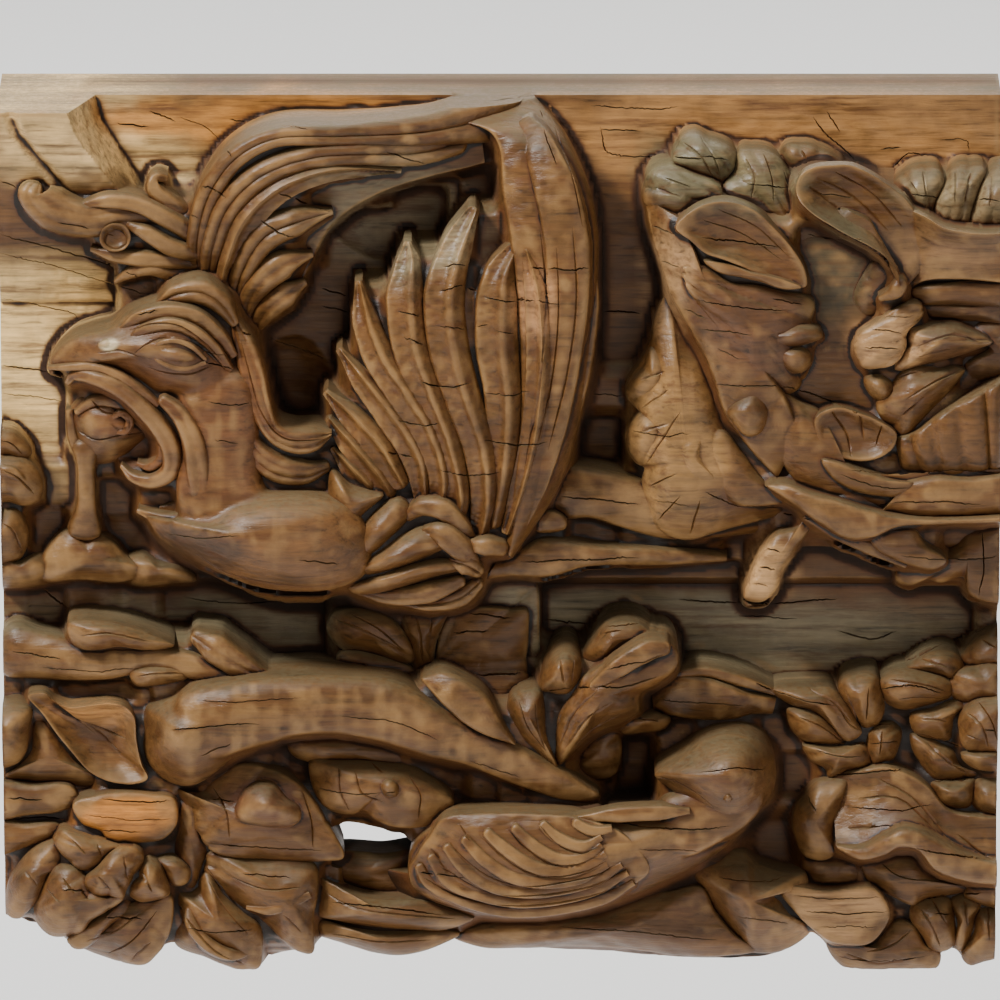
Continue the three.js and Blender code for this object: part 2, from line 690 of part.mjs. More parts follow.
// The leaves, flower and wavy leaf of the apron, lower right.
const rightApron = {
  ground: { path: [[810, 850, 4], [900, 850, 8], [1012, 850, 8]], width: [170, 180, 180], crown: 0.1 },
  upperGround: { path: [[880, 720, 4], [940, 720, 8], [1012, 720, 8]], width: [120, 140, 140], crown: 0.1 },
  firstLobe: { path: [[772, 692, 22], [804, 702, 35], [842, 738, 37]], width: [14, 32, 38] },
  topLobe: { path: [[862, 676, 26], [862, 706, 38], [856, 748, 38]], width: [36, 48, 40] },
  secondLobe: { path: [[791, 722, 22], [816, 730, 35], [852, 752, 37]], width: [20, 36, 32] },
  thirdLobe: { path: [[806, 752, 22], [832, 762, 33], [864, 766, 33]], width: [14, 28, 28] },
  sideLobe: { path: [[902, 742, 26], [882, 750, 35], [860, 756, 35]], width: [26, 36, 32] },
  edgeLeaf1: { path: [[885, 693, 26], [922, 690, 40], [968, 682, 40]], width: [18, 42, 44] },
  edgeLeaf2: { path: [[922, 654, 20], [950, 664, 33], [984, 678, 38]], width: [34, 44, 34] },
  edgeLeaf3: { path: [[994, 638, 20], [990, 660, 33], [978, 684, 36]], width: [44, 46, 34] },
  innerPetal: { path: [[988, 694, 36], [980, 730, 48], [992, 774, 44]], width: [16, 44, 52] },
  leftPetal: { path: [[922, 716, 22], [936, 754, 36], [980, 778, 38]], width: [40, 58, 34] },
  lowerPetal: { path: [[942, 796, 24], [970, 802, 38], [1012, 802, 38]], width: [28, 46, 52] },
  wavyLeaf: {
    base: [[822, 792, 30], [880, 776, 34], [940, 804, 34], [1012, 834, 32]],
    rim: [[800, 856, 30], [840, 860, 42], [872, 866, 45], [910, 848, 40], [950, 876, 46], [1012, 894, 46]],
    thick: 36,
    bulge: 4,
    columns: 8,
  },
  wavyLobe: { path: [[814, 790, 24], [802, 828, 37], [816, 860, 30]], width: [30, 38, 30] },
  underLeaf: { path: [[850, 884, 14], [896, 886, 24], [934, 904, 22]], width: [34, 54, 44] },
  brokenLeaf: {
    path: [[786, 903, 24], [832, 918, 37], [888, 925, 28]],
    width: [14, 54, 52],
    crown: 0.4,
  },
  bottomLobe1: { path: [[836, 950, 4], [872, 956, 20], [936, 950, 20]], width: [26, 46, 52] },
  bottomLobe2: { path: [[926, 890, 22], [941, 922, 31], [946, 952, 18]], width: [40, 50, 26] },
  bottomLobe3: { path: [[988, 890, 22], [986, 930, 29], [982, 966, 12]], width: [54, 56, 34] },
};

// The ground board: its section is carried along the beam, one step for each ground.
function groundBoard() {
  const middleZ = downToZ(middleGround.from, middleGround.depth - groundDepth);
  const lowerZ = downToZ(lowerGround.from, lowerGround.depth - groundDepth);
  const apronZ = downToZ(apronTop, lowerGround.depth - groundDepth);
  const section = new THREE.Shape();
  section.moveTo(0, topHeight);
  section.lineTo(0, apronZ);
  section.lineTo(lowerGround.depth, apronZ);
  section.lineTo(lowerGround.depth, lowerZ);
  section.lineTo(middleGround.depth, lowerZ + 6);
  section.lineTo(middleGround.depth, middleZ);
  section.lineTo(groundDepth, middleZ + 6);
  section.lineTo(groundDepth, topHeight);
  section.closePath();
  const slab = new THREE.ExtrudeGeometry(section, { depth: length, bevelEnabled: false });
  slab.applyMatrix4(
    new THREE.Matrix4().makeBasis(
      new THREE.Vector3(0, -1, 0),
      new THREE.Vector3(0, 0, 1),
      new THREE.Vector3(-1, 0, 0),
    ),
  );
  slab.translate(length / 2, 0, 0);
  return toSolid(slab);
}

// A plate cut square through the board, from an outline read on the drawing.
function plate(outline, depth, proud) {
  const shape = new THREE.Shape(
    outline.map(([across, down]) => new THREE.Vector2(acrossToX(across), downToZ(down, proud))),
  );
  const geometry = new THREE.ExtrudeGeometry(shape, { depth, bevelEnabled: false });
  geometry.rotateX(Math.PI / 2);
  return toSolid(geometry);
}

// The apron's back plate follows the scallops of the lower edge, just inside them.
const apronOutline = [
  [-10, apronTop - 10], [1010, apronTop - 10], [1010, 944], [976, 956], [956, 936], [930, 958],
  [846, 956], [815, 916], [788, 944], [640, 950], [500, 936], [448, 918], [430, 936], [312, 916],
  [298, 940], [246, 960], [166, 930], [130, 950], [60, 926], [-10, 902],
];

// Openings cut right through the board.
const piercings = {
  betweenLeaves: [[328, 810], [356, 812], [392, 826], [428, 820], [412, 856], [342, 856]],
  leftEnd: [[-10, 656], [12, 668], [-10, 682]],
};

// Hollows cut into the ground: [across, down, depth] at the middle, with half sizes.
const hollows = {
  behindWings: { at: [420, 215], half: [78, 42], depth: 10 },
  besideNeck: { at: [292, 388], half: [34, 46], depth: 14 },
  underBud: { at: [124, 510], half: [24, 42], depth: 34 },
  belowBough: { at: [510, 792], half: [88, 26], depth: 12 },
};

// A hollow is a faceted bowl sunk into the front of the board.
function bowl({ at, half, depth }) {
  const geometry = new THREE.SphereGeometry(1, 10, 6);
  geometry.scale(half[0] / drawingScale, depth, half[1] / drawingScale);
  geometry.translate(acrossToX(at[0]), -groundDepth, downToZ(at[1], 0));
  return toSolid(geometry);
}

// The raised corner at the upper left: its face leans back as it goes down, a groove runs
// across it, and its right side slopes to the ground.
const cornerBlock = [
  { below: -10, proud: 44, groove: 6, edge: 64, foot: 92 },
  { below: 12, proud: 41, groove: 22, edge: 80, foot: 102 },
  { below: 47, proud: 26, groove: 74, edge: 126, foot: 146 },
  { below: 80, proud: 13, groove: 112, edge: 164, foot: 176 },
  { below: 106, proud: 2, groove: 140, edge: 192, foot: 196 },
];
const grooveDepth = 3.5;
const grooveHalf = 9;

function raisedCorner() {
  const points = [];
  cornerBlock.forEach(({ below, proud, groove, edge, foot }) => {
    const z = topHeight - below;
    const front = -(groundDepth + proud);
    const cut = Math.min(grooveDepth, proud);
    [
      [-10, -groundDepth + 5],
      [-10, front],
      [groove - grooveHalf, front],
      [groove, front + cut],
      [groove + grooveHalf, front],
      [edge, front],
      [foot, -groundDepth + 1],
      [foot, -groundDepth + 5],
    ].forEach(([across, y]) => points.push(new THREE.Vector3(acrossToX(across), y, z)));
  });
  return closedSolid(points, loftTriangles(cornerBlock.length - 1, 8));
}

// The beam's own box: the carving is cut off flush at the ends, the top and the back.
function beamBox() {
  const height = topHeight - bottomHeight;
  const geometry = new THREE.BoxGeometry(length, deepestRelief, height);
  geometry.translate(0, -deepestRelief / 2, (topHeight + bottomHeight) / 2);
  return toSolid(geometry);
}

function carve(form) {
  return form.path ? strand(form) : sheet(form);
}

const groups = [
  crest, farWing, head, breast, bud, nearWing, coverts, middleStems, peonyLeaf, peony,
  endFlower, frond, leftApron, bigBranch, middleGroundCarving, fanLeaf, smallBird, lowerLimb,
  rightApron,
];
const piercing = wasm.Manifold.union(
  Object.values(piercings).map((outline) => plate(outline, groundDepth * 2, -20)),
);
const board = wasm.Manifold.union([groundBoard(), plate(apronOutline, lowerGround.depth, 0)])
  .subtract(wasm.Manifold.union(Object.values(hollows).map(bowl)))
  .subtract(piercing);
const carving = groups.flatMap((group) => Object.values(group).map(carve));
const joined = wasm.Manifold.union([board, raisedCorner(), ...carving]).intersect(beamBox());

// Pinholes shut in between overlapping forms are solid wood: the outer shell alone is kept.
const solid = joined
  .decompose()
  .reduce((largest, shell) => (shell.volume() > largest.volume() ? shell : largest));

// The joined solid goes back into a geometry.
function toGeometry(manifold) {
  const { vertProperties, triVerts } = manifold.getMesh();
  const geometry = new THREE.BufferGeometry();
  geometry.setAttribute("position", new THREE.BufferAttribute(vertProperties, 3));
  geometry.setIndex(new THREE.BufferAttribute(triVerts, 1));
  geometry.computeVertexNormals();
  return geometry;
}

const agedHardwood = new THREE.MeshStandardMaterial({
  color: 0x7d5a38,
  roughness: 0.55,
  metalness: 0,
});
const carvedLintel = new THREE.Mesh(toGeometry(solid), agedHardwood);
carvedLintel.name = "carved_lintel";

const lintel = new THREE.Group();
lintel.add(carvedLintel);

export default lintel;
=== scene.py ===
# Carved door lintel: a length of old hardwood beam with a phoenix, a peony and a small bird cut
# in high relief among leaves, worn pale on the ridges and dark and dusty in the hollows.
import math

import bpy
import numpy as np
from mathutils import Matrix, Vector
from mathutils.bvhtree import BVHTree


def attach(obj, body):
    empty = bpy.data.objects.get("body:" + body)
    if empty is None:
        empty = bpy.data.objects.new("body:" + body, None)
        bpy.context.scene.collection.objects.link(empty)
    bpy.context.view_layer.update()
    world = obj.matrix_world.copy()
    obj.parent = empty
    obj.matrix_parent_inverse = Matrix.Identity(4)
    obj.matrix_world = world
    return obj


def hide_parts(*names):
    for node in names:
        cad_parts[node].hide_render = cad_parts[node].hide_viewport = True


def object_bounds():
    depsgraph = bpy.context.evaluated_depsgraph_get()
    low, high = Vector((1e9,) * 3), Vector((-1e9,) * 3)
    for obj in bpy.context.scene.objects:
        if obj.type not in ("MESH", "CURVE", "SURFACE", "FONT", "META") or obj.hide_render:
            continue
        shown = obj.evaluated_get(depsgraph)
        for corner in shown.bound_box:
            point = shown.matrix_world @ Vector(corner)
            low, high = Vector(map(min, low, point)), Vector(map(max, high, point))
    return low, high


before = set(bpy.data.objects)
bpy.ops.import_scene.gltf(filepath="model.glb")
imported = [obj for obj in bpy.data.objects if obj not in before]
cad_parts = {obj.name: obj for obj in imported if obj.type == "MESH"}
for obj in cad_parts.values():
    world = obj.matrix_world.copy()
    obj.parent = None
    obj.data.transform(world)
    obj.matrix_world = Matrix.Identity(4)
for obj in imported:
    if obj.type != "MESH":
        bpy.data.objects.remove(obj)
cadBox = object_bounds()

# The carving is set out on a drawing at twice full size. A point of a form is (across, down,
# proud): across and down on the drawing, proud in real millimetres in front of the ground.
setting = {
    "length": 0.5,
    "topHeight": 0.225,
    "groundDepth": 0.050,
    "unit": 0.0005,          # metres for one unit of the drawing
    "arris": 96,             # where the top arris of the ground is drawn
    "sightAngle": 14,        # degrees that the drawing is seen from above
    "step": 0.0014,          # metres between the rows of a carved surface
    "seed": 7,
}
unit = setting["unit"]
halfLength = setting["length"] / 2
groundDepth = setting["groundDepth"]
sightCos = math.cos(math.radians(setting["sightAngle"]))
sightTan = math.tan(math.radians(setting["sightAngle"]))


# x = across * unit - length / 2, y = -(ground + proud),
# z = top - (down - arris) * unit / cos(sight) + proud * tan(sight)
def setOut(points):
    points = np.asarray(points, float)
    across, down, proud = points[..., 0], points[..., 1], points[..., 2] / 1000
    z = setting["topHeight"] - (down - setting["arris"]) * unit / sightCos + proud * sightTan
    return np.stack([across * unit - halfLength, -(groundDepth + proud), z], -1)


# The other way round: where a vertex is seen on the drawing, and how far it stands proud in mm.
def readOff(vertices):
    x, y, z = vertices.T
    proud = -y - groundDepth
    across = (x + halfLength) / unit
    down = setting["arris"] + (setting["topHeight"] - z + proud * sightTan) * sightCos / unit
    return across, down, proud * 1000


# A smooth curve through the rows of points (a centripetal Catmull-Rom spline), at each t in 0..1.
def curveThrough(points, t):
    points = np.asarray(points, float)
    spans = len(points) - 1
    ends = [2 * points[0] - points[1]], [2 * points[-1] - points[-2]]
    padded = np.vstack([ends[0], points, ends[1]])
    span = np.clip((np.asarray(t) * spans).astype(int), 0, spans - 1)
    w = (np.asarray(t) * spans - span)[:, None]
    p0, p1, p2, p3 = (padded[span + k] for k in range(4))
    d0, d1, d2 = (
        np.maximum(np.linalg.norm(b - a, axis=1), 1e-9)[:, None] ** 0.5
        for a, b in ((p0, p1), (p1, p2), (p2, p3))
    )
    m1 = ((p1 - p0) / d0 - (p2 - p0) / (d0 + d1) + (p2 - p1) / d1) * d1
    m2 = ((p2 - p1) / d1 - (p3 - p1) / (d1 + d2) + (p3 - p2) / d2) * d1
    return (p1 + m1 * w + (-3 * p1 + 3 * p2 - 2 * m1 - m2) * w**2
            + (2 * p1 - 2 * p2 + m1 + m2) * w**3)


# The same curve as a closed loop, in even steps of its length.
def loopThrough(points, step):
    n = len(points)
    wrapped = np.vstack([points[-2:], points, points[:3]])
    t = np.linspace(2, n + 2, 700) / (n + 4)
    dense = curveThrough(wrapped, t)
    run = np.concatenate([[0], np.cumsum(np.linalg.norm(np.diff(setOut(dense), axis=0), axis=1))])
    count = int(np.clip(run[-1] / step, 14, 260))
    return curveThrough(wrapped, np.interp(np.arange(count) / count * run[-1], run, t))


# Values at even stations, eased from one to the next by 3t^2 - 2t^3 mixed with a straight line.
def easedValues(values, t):
    values = np.asarray(values, float)
    at = np.asarray(t) * (len(values) - 1)
    low = np.clip(at.astype(int), 0, len(values) - 2)
    f = at - low
    f = 0.5 * f + 0.5 * f * f * (3 - 2 * f)
    return values[low] * (1 - f) + values[low + 1] * f


# Smooth random heights: random numbers on a lattice, blended by 3t^2 - 2t^3 both ways.
def unevenness(x, y, seed):
    table = np.random.default_rng(seed).uniform(-1, 1, (128, 128))
    xi, yi = np.floor(x).astype(int), np.floor(y).astype(int)
    fx, fy = x - xi, y - yi
    fx, fy = fx * fx * (3 - 2 * fx), fy * fy * (3 - 2 * fy)
    a, b = table[xi % 128, yi % 128], table[(xi + 1) % 128, yi % 128]
    c, d = table[xi % 128, (yi + 1) % 128], table[(xi + 1) % 128, (yi + 1) % 128]
    return (a * (1 - fx) + b * fx) * (1 - fy) + (c * (1 - fx) + d * fx) * fy


# Stations along a curve, closer together near both ends: s = L (w - k sin(2 pi w) / 2 pi).
def stations(controls, step, ease=0.45):
    dense = np.linspace(0, 1, 500)
    points = curveThrough(controls, dense)
    run = np.concatenate([[0], np.cumsum(np.linalg.norm(np.diff(points, axis=0), axis=1))])
    count = int(np.clip(run[-1] / step, 9, 340))
    w = np.linspace(0, 1, count + 1)
    s = run[-1] * (w - ease * np.sin(2 * np.pi * w) / (2 * np.pi))
    return np.interp(s, run, dense), s, run[-1]


# A quarter circle at each end that is left wide: f = sqrt(1 - (1 - s / r)^2).
def roundedEnds(s, total, firstHalf, lastHalf):
    f = np.ones_like(s)
    for half, distance in ((firstHalf, s), (lastHalf, total - s)):
        if half > 4.5 * unit:
            reach = min(half * 0.8, total * 0.4)
            f = f * np.sqrt(np.clip(1 - np.clip(1 - distance / reach, 0, 1) ** 2, 0, 1))
    return f


# The relief across a strand, in metres: v runs from -1 to 1 across it, s is the length along it.
def strandRelief(form, v, s, halfWidth, total):
    style = form.get("style")
    relief = np.zeros(np.broadcast(v, s).shape)
    fade = np.clip(s / 0.004, 0, 1) * np.clip((total - s) / 0.004, 0, 1)
    if style == "locks":         # rounded ribs with sharp grooves between them
        ribs = form["ribs"]
        depth = np.minimum(0.46 * halfWidth / ribs, 0.0019)
        relief = depth * (np.abs(np.sin(np.pi * ribs * (v + 1) / 2)) ** 0.6 - 1) * fade
    elif style == "feather":     # a rounded shaft on one side, a hollow vane with cut barbs beside it
        shaft = 0.0016 * np.exp(-(((v + 0.32) / 0.24) ** 2))
        vane = -0.0022 * np.clip(1 - ((v - 0.42) / 0.55) ** 2, 0, 1)
        barbs = -0.00055 * np.clip(np.sin(2 * np.pi * (s / 0.0030 + v * 0.8)), 0, 1) ** 2
        relief = (shaft + vane + barbs * np.clip((v + 0.02) * 5, 0, 1)) * fade
    elif style == "leaf":        # a mid rib groove with slanting side veins
        side = np.abs(v)
        groove = -0.0011 * np.exp(-((v / 0.11) ** 2))
        veins = -0.0004 * np.clip(np.sin(2 * np.pi * (s / 0.0050 - side * 1.1)), 0, 1) ** 3
        relief = (groove + veins * np.clip(side * 5 - 0.5, 0, 1)) * fade
    return relief


backProfile = np.array([(1.0, 0.08), (0.99, 0.4), (0.93, 0.75), (0.6, 0.98), (0, 1.0),
                        (-0.6, 0.98), (-0.93, 0.75), (-0.99, 0.4), (-1.0, 0.08)])


# The depth behind the front edge that a form goes back: its own thickness, or down to its foot.
def depthBehind(form, edgeY):
    if "thick" in form:
        return np.full(np.shape(edgeY), form["thick"] / 1000)
    return np.maximum(-(groundDepth + form["foot"] / 1000) - edgeY, 0.004)


# Point(s, v) = crest(s) + side halfWidth v - front crown halfWidth (1 - dome(v)), with
# dome(v) = (1 - |v|^e)^(1/e), closed behind by a wall.
def strandRings(form, step):
    controls = setOut(form["path"])
    t, s, total = stations(controls, step * 1.1)
    centre = curveThrough(controls, t)
    tangent = np.gradient(centre, s, axis=0)
    tangent /= np.linalg.norm(tangent, axis=1)[:, None]
    viewer = np.array([0.0, -1.0, 0.0])
    front = viewer - tangent * (tangent @ viewer)[:, None]
    front /= np.linalg.norm(front, axis=1)[:, None]
    side = np.cross(tangent, front)
    fullHalf = easedValues(form["width"], t) * unit / 2
    rounding = roundedEnds(s, total, form["width"][0] * unit / 2, form["width"][-1] * unit / 2)
    halfWidth = np.maximum(fullHalf * rounding, 1e-5)
    crown = form.get("crown", 0.7)
    count = int(np.clip(fullHalf.max() * 3.0 / step, 8, 110))
    w = np.linspace(-1, 1, count + 1)
    v = 0.5 * w + 0.5 * np.sin(np.pi / 2 * w)
    exponent = form.get("dome", 2.3)
    dome = np.clip(1 - np.abs(v) ** exponent, 0, 1) ** (1 / exponent)
    fall = crown * halfWidth[:, None] * (1 - dome[None, :])
    fall = fall + crown * (fullHalf * (1 - rounding))[:, None]
    relief = strandRelief(form, v[None, :], s[:, None], halfWidth[:, None], total)
    level = relief - fall
    rings = (centre[:, None, :] + side[:, None, :] * (halfWidth[:, None] * v[None, :])[..., None]
             + front[:, None, :] * level[..., None])
    behindV, behindShare = backProfile.T
    edge = -crown * fullHalf
    back = (centre[:, None, :] + side[:, None, :] * (halfWidth[:, None] * behindV)[..., None]
            + front[:, None, :] * edge[:, None, None])
    back[..., 1] += depthBehind(form, back[:, 4, 1])[:, None] * behindShare
    return np.concatenate([rings, back], axis=1)


# Point(u, v) = base(u) (1 - v) + rim(u) v, puffed out by bulge 4 v (1 - v), with ribs that run
# along it and scoops that run from base to rim; both edges are rounded over.
def sheetRings(form, step):
    base, rim = setOut(form["base"]), setOut(form["rim"])
    t, s, total = stations(rim, step * 1.1, 0.2)
    baseLine, rimLine = curveThrough(base, t), curveThrough(rim, t)
    depth = np.linalg.norm(rimLine - baseLine, axis=1).max()
    count = int(np.clip(depth / step, 8, 150))
    w = np.linspace(0, 1, count + 1)
    v = 0.65 * w + 0.35 * (1 - np.cos(np.pi * w)) / 2
    rings = baseLine[:, None, :] * (1 - v[None, :, None]) + rimLine[:, None, :] * v[None, :, None]
    bulge = form.get("bulge", 0) / 1000
    level = np.broadcast_to(bulge * (4 * v * (1 - v)) ** 0.8, (len(t), len(v))).copy()
    scoops = form.get("scoops", 0)
    if scoops:
        level += form.get("scoopDepth", 1.5) / 1000 * (np.abs(np.sin(np.pi * scoops * t)) ** 0.7 - 1)[:, None]
    ribs = form.get("ribs", 0)
    if ribs:
        level += 0.0017 * (np.abs(np.sin(np.pi * ribs * v)) ** 0.6 - 1)[None, :]
    round = min(0.0022, depth * 0.12)
    for side in (v, 1 - v):
        turn = np.clip(1 - side * depth / round, 0, 1)
        level -= round * (1 - np.sqrt(1 - turn**2))[None, :]
    rings[..., 1] -= level
    share = np.array([(1.0, 0.1), (0.99, 0.5), (0.94, 0.95), (0.5, 1.0), (0.06, 0.95), (0.01, 0.5), (0.0, 0.1)])
    behind = share[:, 0]
    back = baseLine[:, None, :] * (1 - behind[None, :, None]) + rimLine[:, None, :] * behind[None, :, None]
    back[..., 1] += round
    back[..., 1] += depthBehind(form, back[..., 1]) * share[:, 1][None, :]
    return np.concatenate([rings, back], axis=1)


# Lobes that spread from one point of the drawing, 0 on their crests and -1 in the grooves:
# |sin(n angle)|^0.5 - 1, fading out close to that point.
def fanLobes(form, points):
    across, down, count = form["fan"]
    right, below = points[..., 0] - across, points[..., 1] - down
    angle = np.arctan2(below, right)
    reach = np.hypot(right, below)
    return (np.abs(np.sin(count * angle + reach * 0.006)) ** 0.5 - 1) * np.clip(reach / 26 - 0.2, 0, 1)


def fanned(across, down, count, table):
    return {name: {"fan": (across, down, count), **form} if "outline" in form else form
            for name, form in table.items()}


# Point(u, r) = centre (1 - r) + rim(u) r on the drawing, standing proud by
# centre + (rim - centre) r^k, rounded over at the rim and closed behind by a wall.
def padRings(form, step):
    outline = np.array(form["outline"], float)
    if outline.shape[1] == 2:
        rim = np.atleast_1d(np.array(form["rim"], float))
        spread = np.arange(len(outline)) * len(rim) / len(outline)
        outline = np.column_stack([outline, np.interp(spread, np.arange(len(rim) + 1), np.append(rim, rim[0]))])
    rim = loopThrough(outline, step * 1.15)
    centre = np.array(form["centre"], float)
    if "fan" in form:
        rim[:, :2] = centre[:2] + (rim[:, :2] - centre[:2]) * (1 + 0.055 * fanLobes(form, rim))[:, None]
    radius = np.linalg.norm((rim - centre)[:, :2], axis=1).mean() * unit
    edge = min(0.0013, radius * 0.16) * 1000
    start = 1 - edge * 0.0014 / radius
    inner = np.linspace(0.1, start, int(np.clip(radius * 0.9 / step, 3, 60)))
    r = np.concatenate([inner, start + (1 - start) * np.array([0.35, 0.65, 0.86, 0.96, 1.0])])
    points = centre + (rim - centre)[None, :, :] * r[:, None, None]
    swell = r ** form.get("k", 2.2)
    points[..., 2] = centre[2] + (rim[:, 2] - centre[2])[None, :] * swell[:, None]
    points[..., 2] += form.get("lip", 0) * np.exp(-(((r - 0.86) / 0.09) ** 2))[:, None]
    if "fan" in form:
        points[..., 2] += 1.9 * fanLobes(form, points) * np.clip(r * 2 - 0.2, 0, 1)[:, None]
    turn = np.clip((r - start) / (1 - start), 0, 1)
    points[..., 2] -= (edge * (1 - np.sqrt(1 - turn**2)))[:, None]
    front = setOut(points)
    shrink = np.array([0.998, 0.985, 0.95, 0.86, 0.4])
    share = np.array([0.3, 0.65, 0.93, 1.0, 1.0])
    low = rim.copy()
    low[:, 2] -= edge
    back = setOut(centre + (low - centre)[None, :, :] * np.array([1, 1, 0]) * shrink[:, None, None]
                  + (low - centre)[None, :, :] * np.array([0, 0, 1]))
    back[..., 1] += depthBehind(form, back[..., 1]) * share[:, None]
    return np.concatenate([front, back], axis=0)


# Rings of points joined in order round and along, with a pole in the middle of each end, or with
# one flat face there.
def closeRings(rings, flat=False):
    rows, corners, _ = rings.shape
    vertices = np.vstack([rings.reshape(-1, 3), rings[0].mean(0), rings[-1].mean(0)])
    i, j = np.meshgrid(np.arange(rows - 1), np.arange(corners), indexing="ij")
    k = (j + 1) % corners
    quads = np.stack([i * corners + j, i * corners + k, (i + 1) * corners + k, (i + 1) * corners + j], -1)
    quads = quads.reshape(-1, 4)
    j = np.arange(corners)
    k = (j + 1) % corners
    first, last = rows * corners, rows * corners + 1
    start = (rows - 1) * corners
    caps = np.vstack([np.column_stack([np.full(corners, first), k, j]),
                      np.column_stack([np.full(corners, last), start + j, start + k])])
    if flat:
        vertices = rings.reshape(-1, 3)
        caps = np.vstack([j[::-1], start + j])
    corner = vertices[quads]
    volume = np.einsum("ij,ij->i", corner[:, 0], np.cross(corner[:, 1], corner[:, 2])).sum()
    volume += np.einsum("ij,ij->i", corner[:, 0], np.cross(corner[:, 2], corner[:, 3])).sum()
    if volume < 0:
        quads, caps = quads[:, ::-1], caps[:, ::-1]
    return vertices, quads, caps


# The beam is cut square: what runs past its ends, top or back is pressed onto that plane.
def cutSquare(vertices, order):
    inset = 0.00002 * (order % 20)
    x = np.clip(vertices[:, 0], -halfLength + inset, halfLength - inset)
    z = np.clip(vertices[:, 2], cadBox[0].z + inset, setting["topHeight"] - inset)
    y = np.clip(vertices[:, 1], cadBox[0].y + inset, -0.002)
    return np.column_stack([x, y, z])


# Hand cutting and the open grain: heights in metres, longer along the beam than across it.
def handWork(vertices):
    across, down, proud = readOff(vertices)
    tool = 0.00050 * unevenness(across / 17 + proud / 9, down / 13, setting["seed"])
    tool += 0.00026 * np.abs(unevenness(across / 9, down / 6 + proud / 6, setting["seed"] + 1))
    grain = 0.00013 * unevenness(across / 60, down / 3.1 + proud / 4, setting["seed"] + 2)
    return tool + grain


shellCount = 0


def shellOf(form, step, foot):
    global shellCount
    shellCount += 1
    form = {"foot": foot, **form}
    makers = {"path": strandRings, "base": sheetRings, "outline": padRings}
    rings = next(make for key, make in makers.items() if key in form)(form, step)
    vertices, quads, caps = closeRings(rings, form.get("flat", False))
    vertices[:, 1] -= handWork(vertices)
    return cutSquare(vertices, shellCount), quads, caps


# A form goes back to its foot, mm in front of the ground, unless it has a thickness of its own.
def shellsOf(*tables, foot=-6, step=setting["step"]):
    return [shellOf(form, step, foot) for table in tables for form in table.values()]


def meshOf(name, shell):
    vertices, quads, caps = shell
    mesh = bpy.data.meshes.new(name)
    mesh.vertices.add(len(vertices))
    mesh.vertices.foreach_set("co", vertices.astype(np.float32).ravel())
    loops = np.concatenate([quads.ravel(), caps.ravel()])
    mesh.loops.add(len(loops))
    mesh.loops.foreach_set("vertex_index", loops.astype(np.int32))
    mesh.polygons.add(len(quads) + len(caps))
    starts = np.concatenate([np.arange(len(quads)) * 4, len(quads) * 4 + np.arange(len(caps)) * caps.shape[1]])
    mesh.polygons.foreach_set("loop_start", starts.astype(np.int32))
    mesh.update(calc_edges=True)
    return mesh


def placed(name, mesh, collection=None):
    thing = bpy.data.objects.new(name, mesh)
    (collection or bpy.context.scene.collection).objects.link(thing)
    return thing


# The mesh that an object has once its modifiers are worked out.
def settled(thing):
    depsgraph = bpy.context.evaluated_depsgraph_get()
    return bpy.data.meshes.new_from_object(thing.evaluated_get(depsgraph), depsgraph=depsgraph)


def removeAll(things):
    for thing in things:
        mesh = thing.data
        bpy.data.objects.remove(thing)
        bpy.data.meshes.remove(mesh)


# One solid out of several closed shells, or one with the others cut out of it.
def combined(meshes, operation="UNION"):
    if len(meshes) == 1:
        return meshes[0]
    others = bpy.data.collections.new("others")
    bpy.context.scene.collection.children.link(others)
    first = placed("first", meshes[0])
    rest = [placed("other", mesh, others) for mesh in meshes[1:]]
    boolean = first.modifiers.new("combine", "BOOLEAN")
    boolean.operand_type = "COLLECTION"
    boolean.collection = others
    boolean.operation = operation
    boolean.solver = "MANIFOLD"
    result = settled(first)
    removeAll([first] + rest)
    bpy.data.collections.remove(others)
    return result


# Forms that flow into one another: one skin over them all, from cubes of a size, then eased.
def melted(shells, voxel, rounds):
    solid = placed("melted", combined([meshOf("form", shell) for shell in shells]))
    remesh = solid.modifiers.new("skin", "REMESH")
    remesh.mode = "VOXEL"
    remesh.voxel_size = voxel
    smooth = solid.modifiers.new("ease", "SMOOTH")
    smooth.factor = 0.5
    smooth.iterations = rounds
    result = settled(solid)
    removeAll([solid])
    return result


# The head crest streams to the left and ends in a scroll.
crest = {
    "ribbon": {"path": [(208, 246, 24), (165, 224, 31), (125, 218, 35), (92, 224, 37), (55, 214, 39),
        (36, 197, 39), (42, 183, 35)], "width": [40, 40, 36, 38, 44, 32, 14], "thick": 24,
        "style": "locks", "ribs": 3},
    "upperStrand": {"path": [(84, 208, 34), (110, 204, 38), (140, 208, 38), (172, 224, 36), (206, 243, 30)],
        "width": [8, 16, 18, 20, 22], "thick": 24, "style": "locks", "ribs": 2},
    "swirl": {"outline": [(104, 232), (114, 225), (128, 228), (133, 240), (126, 251), (110, 252), (102, 243)],
        "rim": 37, "centre": (118, 240, 33), "thick": 22},
    "middleStrand": {"path": [(128, 226, 34), (148, 236, 38), (172, 250, 37), (204, 258, 30)],
        "width": [8, 16, 18, 18], "thick": 22},
    "lowerStrand": {"path": [(92, 250, 28), (116, 258, 33), (150, 262, 34), (204, 264, 28)],
        "width": [6, 15, 18, 18], "thick": 26, "style": "locks", "ribs": 2},
    "hook": {"path": [(116, 284, 26), (132, 275, 31), (152, 271, 33), (172, 276, 30), (196, 270, 26)],
        "width": [5, 13, 14, 13, 10], "thick": 24},
    "scroll": {"path": [(206, 228, 24), (178, 210, 29), (156, 192, 31), (158, 181, 30), (170, 181, 26)],
        "width": [18, 18, 18, 13, 8], "thick": 24, "style": "locks", "ribs": 2},
}

